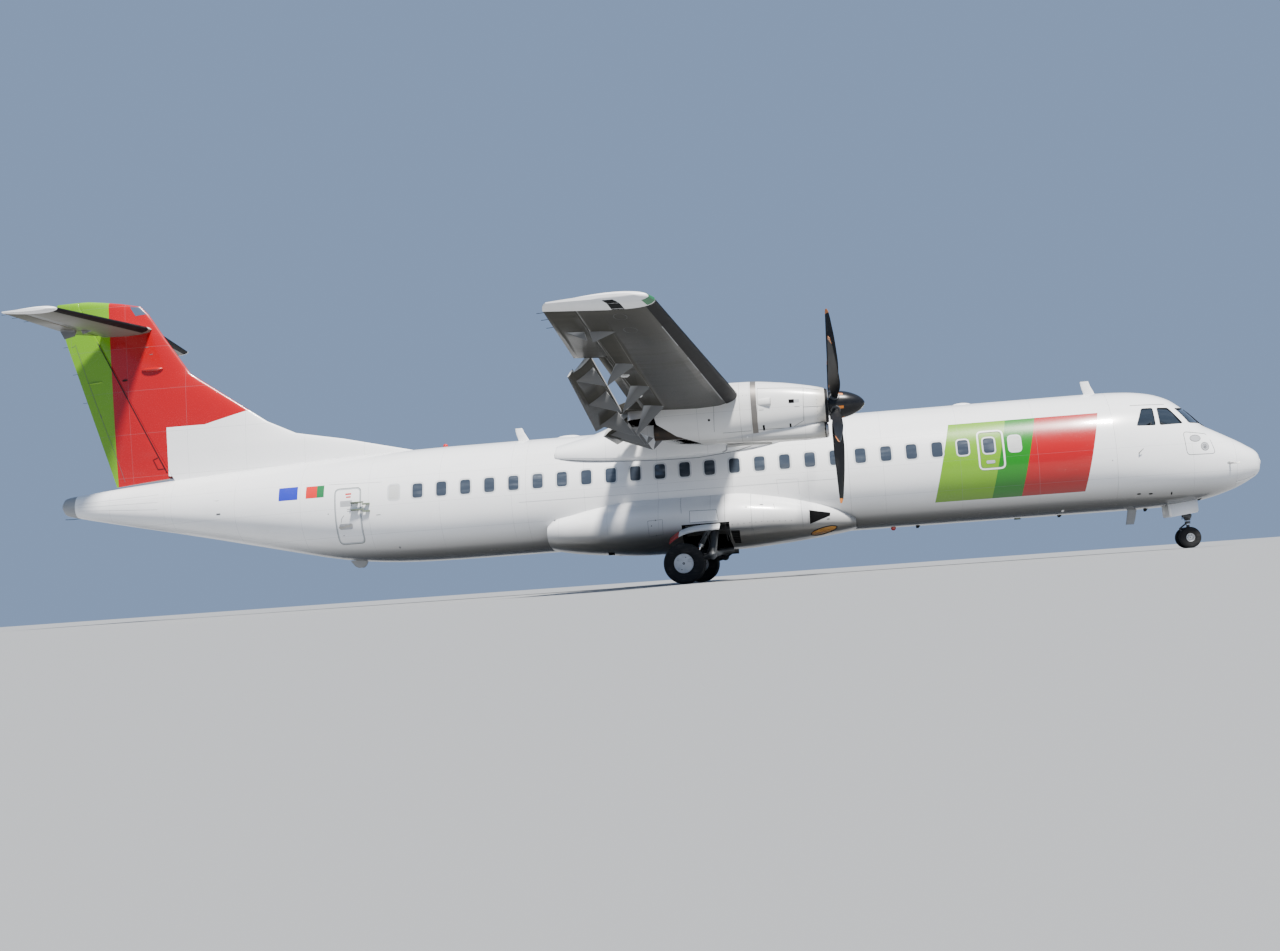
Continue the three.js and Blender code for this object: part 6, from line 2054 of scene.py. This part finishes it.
def wing_details():
    for name, side in SIDES.items():
        cap = tip_sleeve(WING, side, [13.312, 13.365, 13.42, 13.48, 13.505, 13.525, 13.531])
        detail(cap, "wing_tip_cap_" + name, marking_white)
        light = boot(WING, side * 13.36, side * 13.475, 0.065, 6, 0.009)
        detail(light, "navigation_light_" + name, port_glass if side > 0 else starboard_glass)
        # A dark patch under the tip: painted shade in a notch.
        detail(foil_patch(WING, side, TIP_NOTCH, False, 0.0065), "tip_notch_shade_" + name, seal_black)
        body = name + "_aileron"
        bracket_covers(AILERON_COVER, "aileron_fairing", name, side, body)
        covers = [drive_cover(side, y, station) for y, station in DRIVE_COVERS]
        detail(joined(covers), "flap_drive_covers_" + name, marking_white, angle=30)
        rings = []
        for k in range(9):
            middle = 5.4 + 0.93 * k
            spots = [(middle + 0.20 * math.cos(a), 0.36 + 0.055 * math.sin(a)) for a in angles_round(24)]
            rings.append(foil_outline(WING, side, spots, False, 0.0035, 0.008))
        detail(joined(rings), "tank_panel_edges_" + name, panel_line, angle=30)
        strips = []
        for a, b in WORN_EDGES:
            corners = [(a, WORN_FROM), (b, WORN_FROM), (b, WORN_TO), (a, WORN_TO)]
            strips.append(foil_patch(WING, side, corners, False, 0.0032))
        detail(joined(strips), "worn_edges_" + name, grey_paint, angle=30)
        ends = []
        for y in (12.2, 12.75, 13.2):
            end = foil_point(WING, side * y, 1.0, True)
            at = x_at(end.x)
            ends.append([(at - 0.02, side * y, end.z), (at + 0.11, side * y, end.z - 0.006)])
        wicks(ends, "aileron_wicks_" + name, body)


TAB_LINES = [
    [(26.70, 6.66), (26.435, 5.78), (26.158, 4.927), (25.81, 3.911), (25.62, 3.30)],
    [(26.14, 6.68), (26.03, 6.45)],
    [(26.16, 4.95), (26.12, 4.86)],
    [(26.72, 6.62), (26.80, 6.60)],
]
RUDDER_COVER = [(24.745, 3.797), (24.866, 3.751), (24.759, 3.518), (24.60, 3.525)]
FIN_TOP_PLATE = [(25.30, 7.455), (25.085, 7.435), (24.905, 7.225), (25.15, 7.20)]
FIN_ANTENNA = {"station": 24.785, "z": 5.89, "half_length": 0.265, "half_height": 0.045, "out": 0.075}


def fin_antenna(side):
    """A long low dome on the fin's side."""
    rings = []
    for angle in half_turn(10):
        share = math.sin(angle) ** 0.8
        at = FIN_ANTENNA["station"] - FIN_ANTENNA["half_length"] * math.cos(angle)
        ring = []
        for turn in half_turn(12):
            z = FIN_ANTENNA["z"] + (FIN_ANTENNA["half_height"] * share + 0.001) * math.cos(turn)
            reach = fin_reach(at, z) - 0.006 + (FIN_ANTENNA["out"] * share + 0.002) * math.sin(turn)
            ring.append(place(at, side * reach, z))
        rings.append(ring)
    return solid(rings)


def tail_details():
    skin = {"reach": fin_reach, "out": 0.003}
    front = [(hinge_station(z) - 0.030, z) for z in (3.42, 4.5, 5.6, 6.62)]
    # Columns: name, material, lines, width
    lines = [
        ("rudder_tab_lines_", panel_line, TAB_LINES, 0.010),
        # A dark strip along the rudder's front edge: painted shade in the gap between fin and rudder.
        ("rudder_gap_shade_", seal_black, [front], 0.026),
        ("rudder_cover_edge_", seal_black, [RUDDER_COVER], 0.018),
    ]
    marks = [rectangle(24.86, 24.94, 6.425, 6.440), rectangle(24.76, 24.84, 6.245, 6.260)]
    for name, side in SIDES.items():
        cap = tip_sleeve(STABILISER, side, [3.50, 3.56, 3.60, 3.63, 3.65, 3.658])
        detail(cap, "stabiliser_tip_" + name, marking_white)
        body = name + "_elevator"
        bracket_covers(ELEVATOR_COVER, "elevator_fairing", name, side, body)
        ends = [[(26.60, side * y, 6.845), (26.73, side * y, 6.842)] for y in (2.4, 2.9, 3.35)]
        wicks(ends, "elevator_wicks_" + name, body)
        for label, material, points, width in lines:
            line_piece(label + name, material, side, points, width, "rudder_body", **skin)
        y = side * (fin_reach(26.2, 5.69) + 0.006)
        run = [(25.95, y, 5.685), (26.10, y, 5.70), (26.25, y, 5.69), (26.46, y, 5.68)]
        dart = tube(run, [0.005, 0.024, 0.028, 0.004])
        detail(dart, "rudder_tab_fairing_" + name, fin_paint, "rudder_body")
        outline_piece("fin_marks_" + name, panel_line, side, marks, **skin)
        outline_piece("fin_top_plate_" + name, chrome, side, [FIN_TOP_PLATE], **skin)
        run = [(25.40, side * 0.135, 5.69), (25.47, side * 0.145, 5.685), (25.525, side * 0.138, 5.68)]
        detail(tube(run, [0.008, 0.022, 0.014]), "rudder_hinge_fairing_" + name, seal_black)
        detail(fin_antenna(side), "fin_antenna_" + name, fin_paint)
    ends = [[(s, 0, z), (s + 0.13, 0, z - 0.008)] for s, z in ((26.88, 6.62), (26.68, 5.95), (26.46, 5.25))]
    wicks(ends, "rudder_wicks", "rudder_body")


SADDLE_EDGE = [
    (15.06, 2.905), (14.445, 2.825), (13.81, 2.772), (12.86, 2.722),
    (12.00, 2.71), (11.20, 2.787), (10.66, 2.915), (10.05, 3.14),
]


def wing_fairing_details():
    saddle = reach_of(smooth_sections(WING_FAIRING), SADDLE_ROUND, SADDLE_ROUND)

    def outermost(station, z, out=0.0):
        return max(body_reach(station, z, out), saddle(station, z, out))

    line = {"reach": outermost, "out": 0.0065}
    # The vent is a dark disc: painted shade in its hole.
    hole = disc(11.911, 3.081, 0.030, 16)
    for name, side in SIDES.items():
        line_piece("wing_fairing_edge_" + name, panel_line, side, [SADDLE_EDGE], 0.012, **line)
        outline_piece("wing_fairing_vent_" + name, painted_cavity_shade, side, [hole], reach=outermost, out=0.006)


flap_fairings()
wing_details()
tail_details()
wing_fairing_details()

# Undercarriage details
MAIN_AXLE = (12.39, 2.05, 0.43)  # station, y and height of the main wheels' middle
NOSE_STRUT = 1.60
BRAKE_PACK = [(0.066, 0.150), (0.071, 0.163), (0.108, 0.163), (0.113, 0.150)]
# Each hose's radius, and its run as (station, distance from the leg, z)
MAIN_HOSES = [
    (
        0.010,
        [
            (11.88, 0.10, 1.02), (11.83, 0.115, 0.80), (11.90, 0.11, 0.60),
            (12.15, 0.095, 0.515), (12.33, 0.075, 0.47),
        ],
    ),
    (0.007, [(11.86, 0.075, 1.05), (12.02, 0.09, 0.86), (12.16, 0.09, 0.62), (12.30, 0.07, 0.52)]),
]
NOSE_HOSE = [(1.66, 0.05, 1.10), (1.665, 0.07, 0.90), (1.68, 0.06, 0.74), (1.70, 0.05, 0.63)]
STRUT_HEAD, STRUT_FOOT = (11.86, 1.09), (12.20, 0.472)  # station and height of the shock strut's ends
TAXI_LIGHT = [(-0.05, 0.02), (-0.02, 0.052), (0.02, 0.056), (0.03, 0.052)]
TAXI_GLASS = [(0.024, 0.048), (0.034, 0.046), (0.038, 0.025)]


def strut_part(y, start, end, radius, sides):
    """A round part of a main shock strut, between two shares of its length."""
    head, foot = Vector(STRUT_HEAD), Vector(STRUT_FOOT)
    ends = [head.lerp(foot, share) for share in (start, end)]
    return tube([(s, y, z) for s, z in ends], radius, sides)


def gear_details():
    station, half_track, height = MAIN_AXLE
    for name, side in SIDES.items():
        y = side * half_track
        centre = place(station, y, height)
        brakes, hoses = [], []
        for way in (1, -1):
            brakes.append(turned(BRAKE_PACK, centre, (0, way, 0), 40))
            brakes += [stub(p, -way, 0.022, -0.068, -0.046, 12) for p in spots_round(6, 0.128, centre, 0.4)]
            hoses += [tube(beside(y, run, way), radius, 8) for radius, run in MAIN_HOSES]
        detail(joined(brakes), "main_brakes_" + name, gear_steel_and_shade, angle=35)
        detail(joined(hoses), "main_hoses_" + name, seal_black)
        detail(strut_part(y, 0.53, 0.86, 0.0355, 20), "main_strut_rod_" + name, chrome, angle=35)
        detail(strut_part(y, 0.44, 0.515, 0.064, 24), "main_strut_collar_" + name, bare_metal, angle=35)
        panel = on_side(side, BAY_PANEL, 0.005, 0.004, reach=belly_reach)
        detail(panel, "bay_panel_" + name, door_paint, angle=35)
    foot = place(NOSE_STRUT, 0, 0)
    rod = turned([(0.500, 0.0392), (0.597, 0.0392)], foot, (0, 0, 1), 24)
    detail(rod, "nose_strut_rod", chrome, "nose_steering_fork", 35)
    collars = [turned([(z, 0.071), (z + 0.03, 0.071)], foot, (0, 0, 1), 28) for z in (0.80, 0.98)]
    detail(joined(collars), "nose_leg_collars", bare_metal, angle=35)
    jacks = [tube([(1.69, y, 0.70), (1.53, y, 0.70)], 0.026, 14) for y in (-0.105, 0.105)]
    detail(joined(jacks), "nose_steering_jacks", gear_steel_and_shade, angle=35)
    lamp = place(1.515, 0, 0.93)
    detail(turned(TAXI_LIGHT, lamp, (1, 0, 0), 28), "taxi_light", gear_steel_and_shade, angle=35)
    detail(turned(TAXI_GLASS, lamp, (1, 0, 0), 28), "taxi_light_glass", cabin_glass, angle=35)
    detail(tube(NOSE_HOSE, 0.008, 8), "nose_hose", seal_black)


gear_details()

# Stage, light and camera
FLOOR_COLOR = (0.235, 0.24, 0.245)
CAMERA_AT = (4.29, -35.76, 0.12)  # at floor level, as near as the photo's framing allows
CAMERA_TO = (0.127, 0.0, 2.506)
CAMERA_ROLL = -4.055
FOCAL_SHARE = 1594 / 1280  # focal length over the image's width


def stage():
    bpy.ops.object.select_all(action="DESELECT")
    bpy.ops.mesh.primitive_plane_add(size=600)
    floor = bpy.context.object
    floor.name = "floor"
    material = bpy.data.materials.new("floor")
    material.use_nodes = True
    shader = material.node_tree.nodes["Principled BSDF"]
    shader.inputs["Base Color"].default_value = (*FLOOR_COLOR, 1)
    shader.inputs["Roughness"].default_value = 0.8
    floor.data.materials.append(material)


def sun(name, towards, energy, softness, color=(1, 1, 1)):
    """A soft light from far away, so that it falls evenly along the whole aircraft."""
    light = bpy.data.lights.new(name, "SUN")
    light.energy = energy
    light.angle = math.radians(softness)
    light.color = color
    obj = bpy.data.objects.new(name, light)
    obj.rotation_euler = Vector(towards).to_track_quat("-Z", "Y").to_euler()
    bpy.context.scene.collection.objects.link(obj)


def lights():
    sun("key", (-0.30, 0.45, -1.0), 11.5, 7, (1.0, 0.97, 0.92))
    world = bpy.data.worlds.new("studio")
    world.use_nodes = True
    background = world.node_tree.nodes["Background"]
    background.inputs["Color"].default_value = (0.33, 0.47, 0.74, 1)
    background.inputs["Strength"].default_value = 0.75
    bpy.context.scene.world = world


def camera():
    position, target = Vector(CAMERA_AT), Vector(CAMERA_TO)
    ahead = (target - position).normalized()
    level = ahead.cross(Vector((0, 0, 1))).normalized()
    upright = level.cross(ahead)
    roll = math.radians(CAMERA_ROLL)
    right = level * math.cos(roll) + upright * math.sin(roll)
    up = upright * math.cos(roll) - level * math.sin(roll)
    data = bpy.data.cameras.new("camera")
    data.sensor_width = 36
    data.lens = 36 * FOCAL_SHARE
    data.clip_end = 500
    obj = bpy.data.objects.new("camera", data)
    turn = Matrix((right, up, -ahead)).transposed()
    obj.matrix_world = Matrix.Translation(position) @ turn.to_4x4()
    bpy.context.scene.collection.objects.link(obj)
    bpy.context.scene.camera = obj


stage()
lights()
camera()
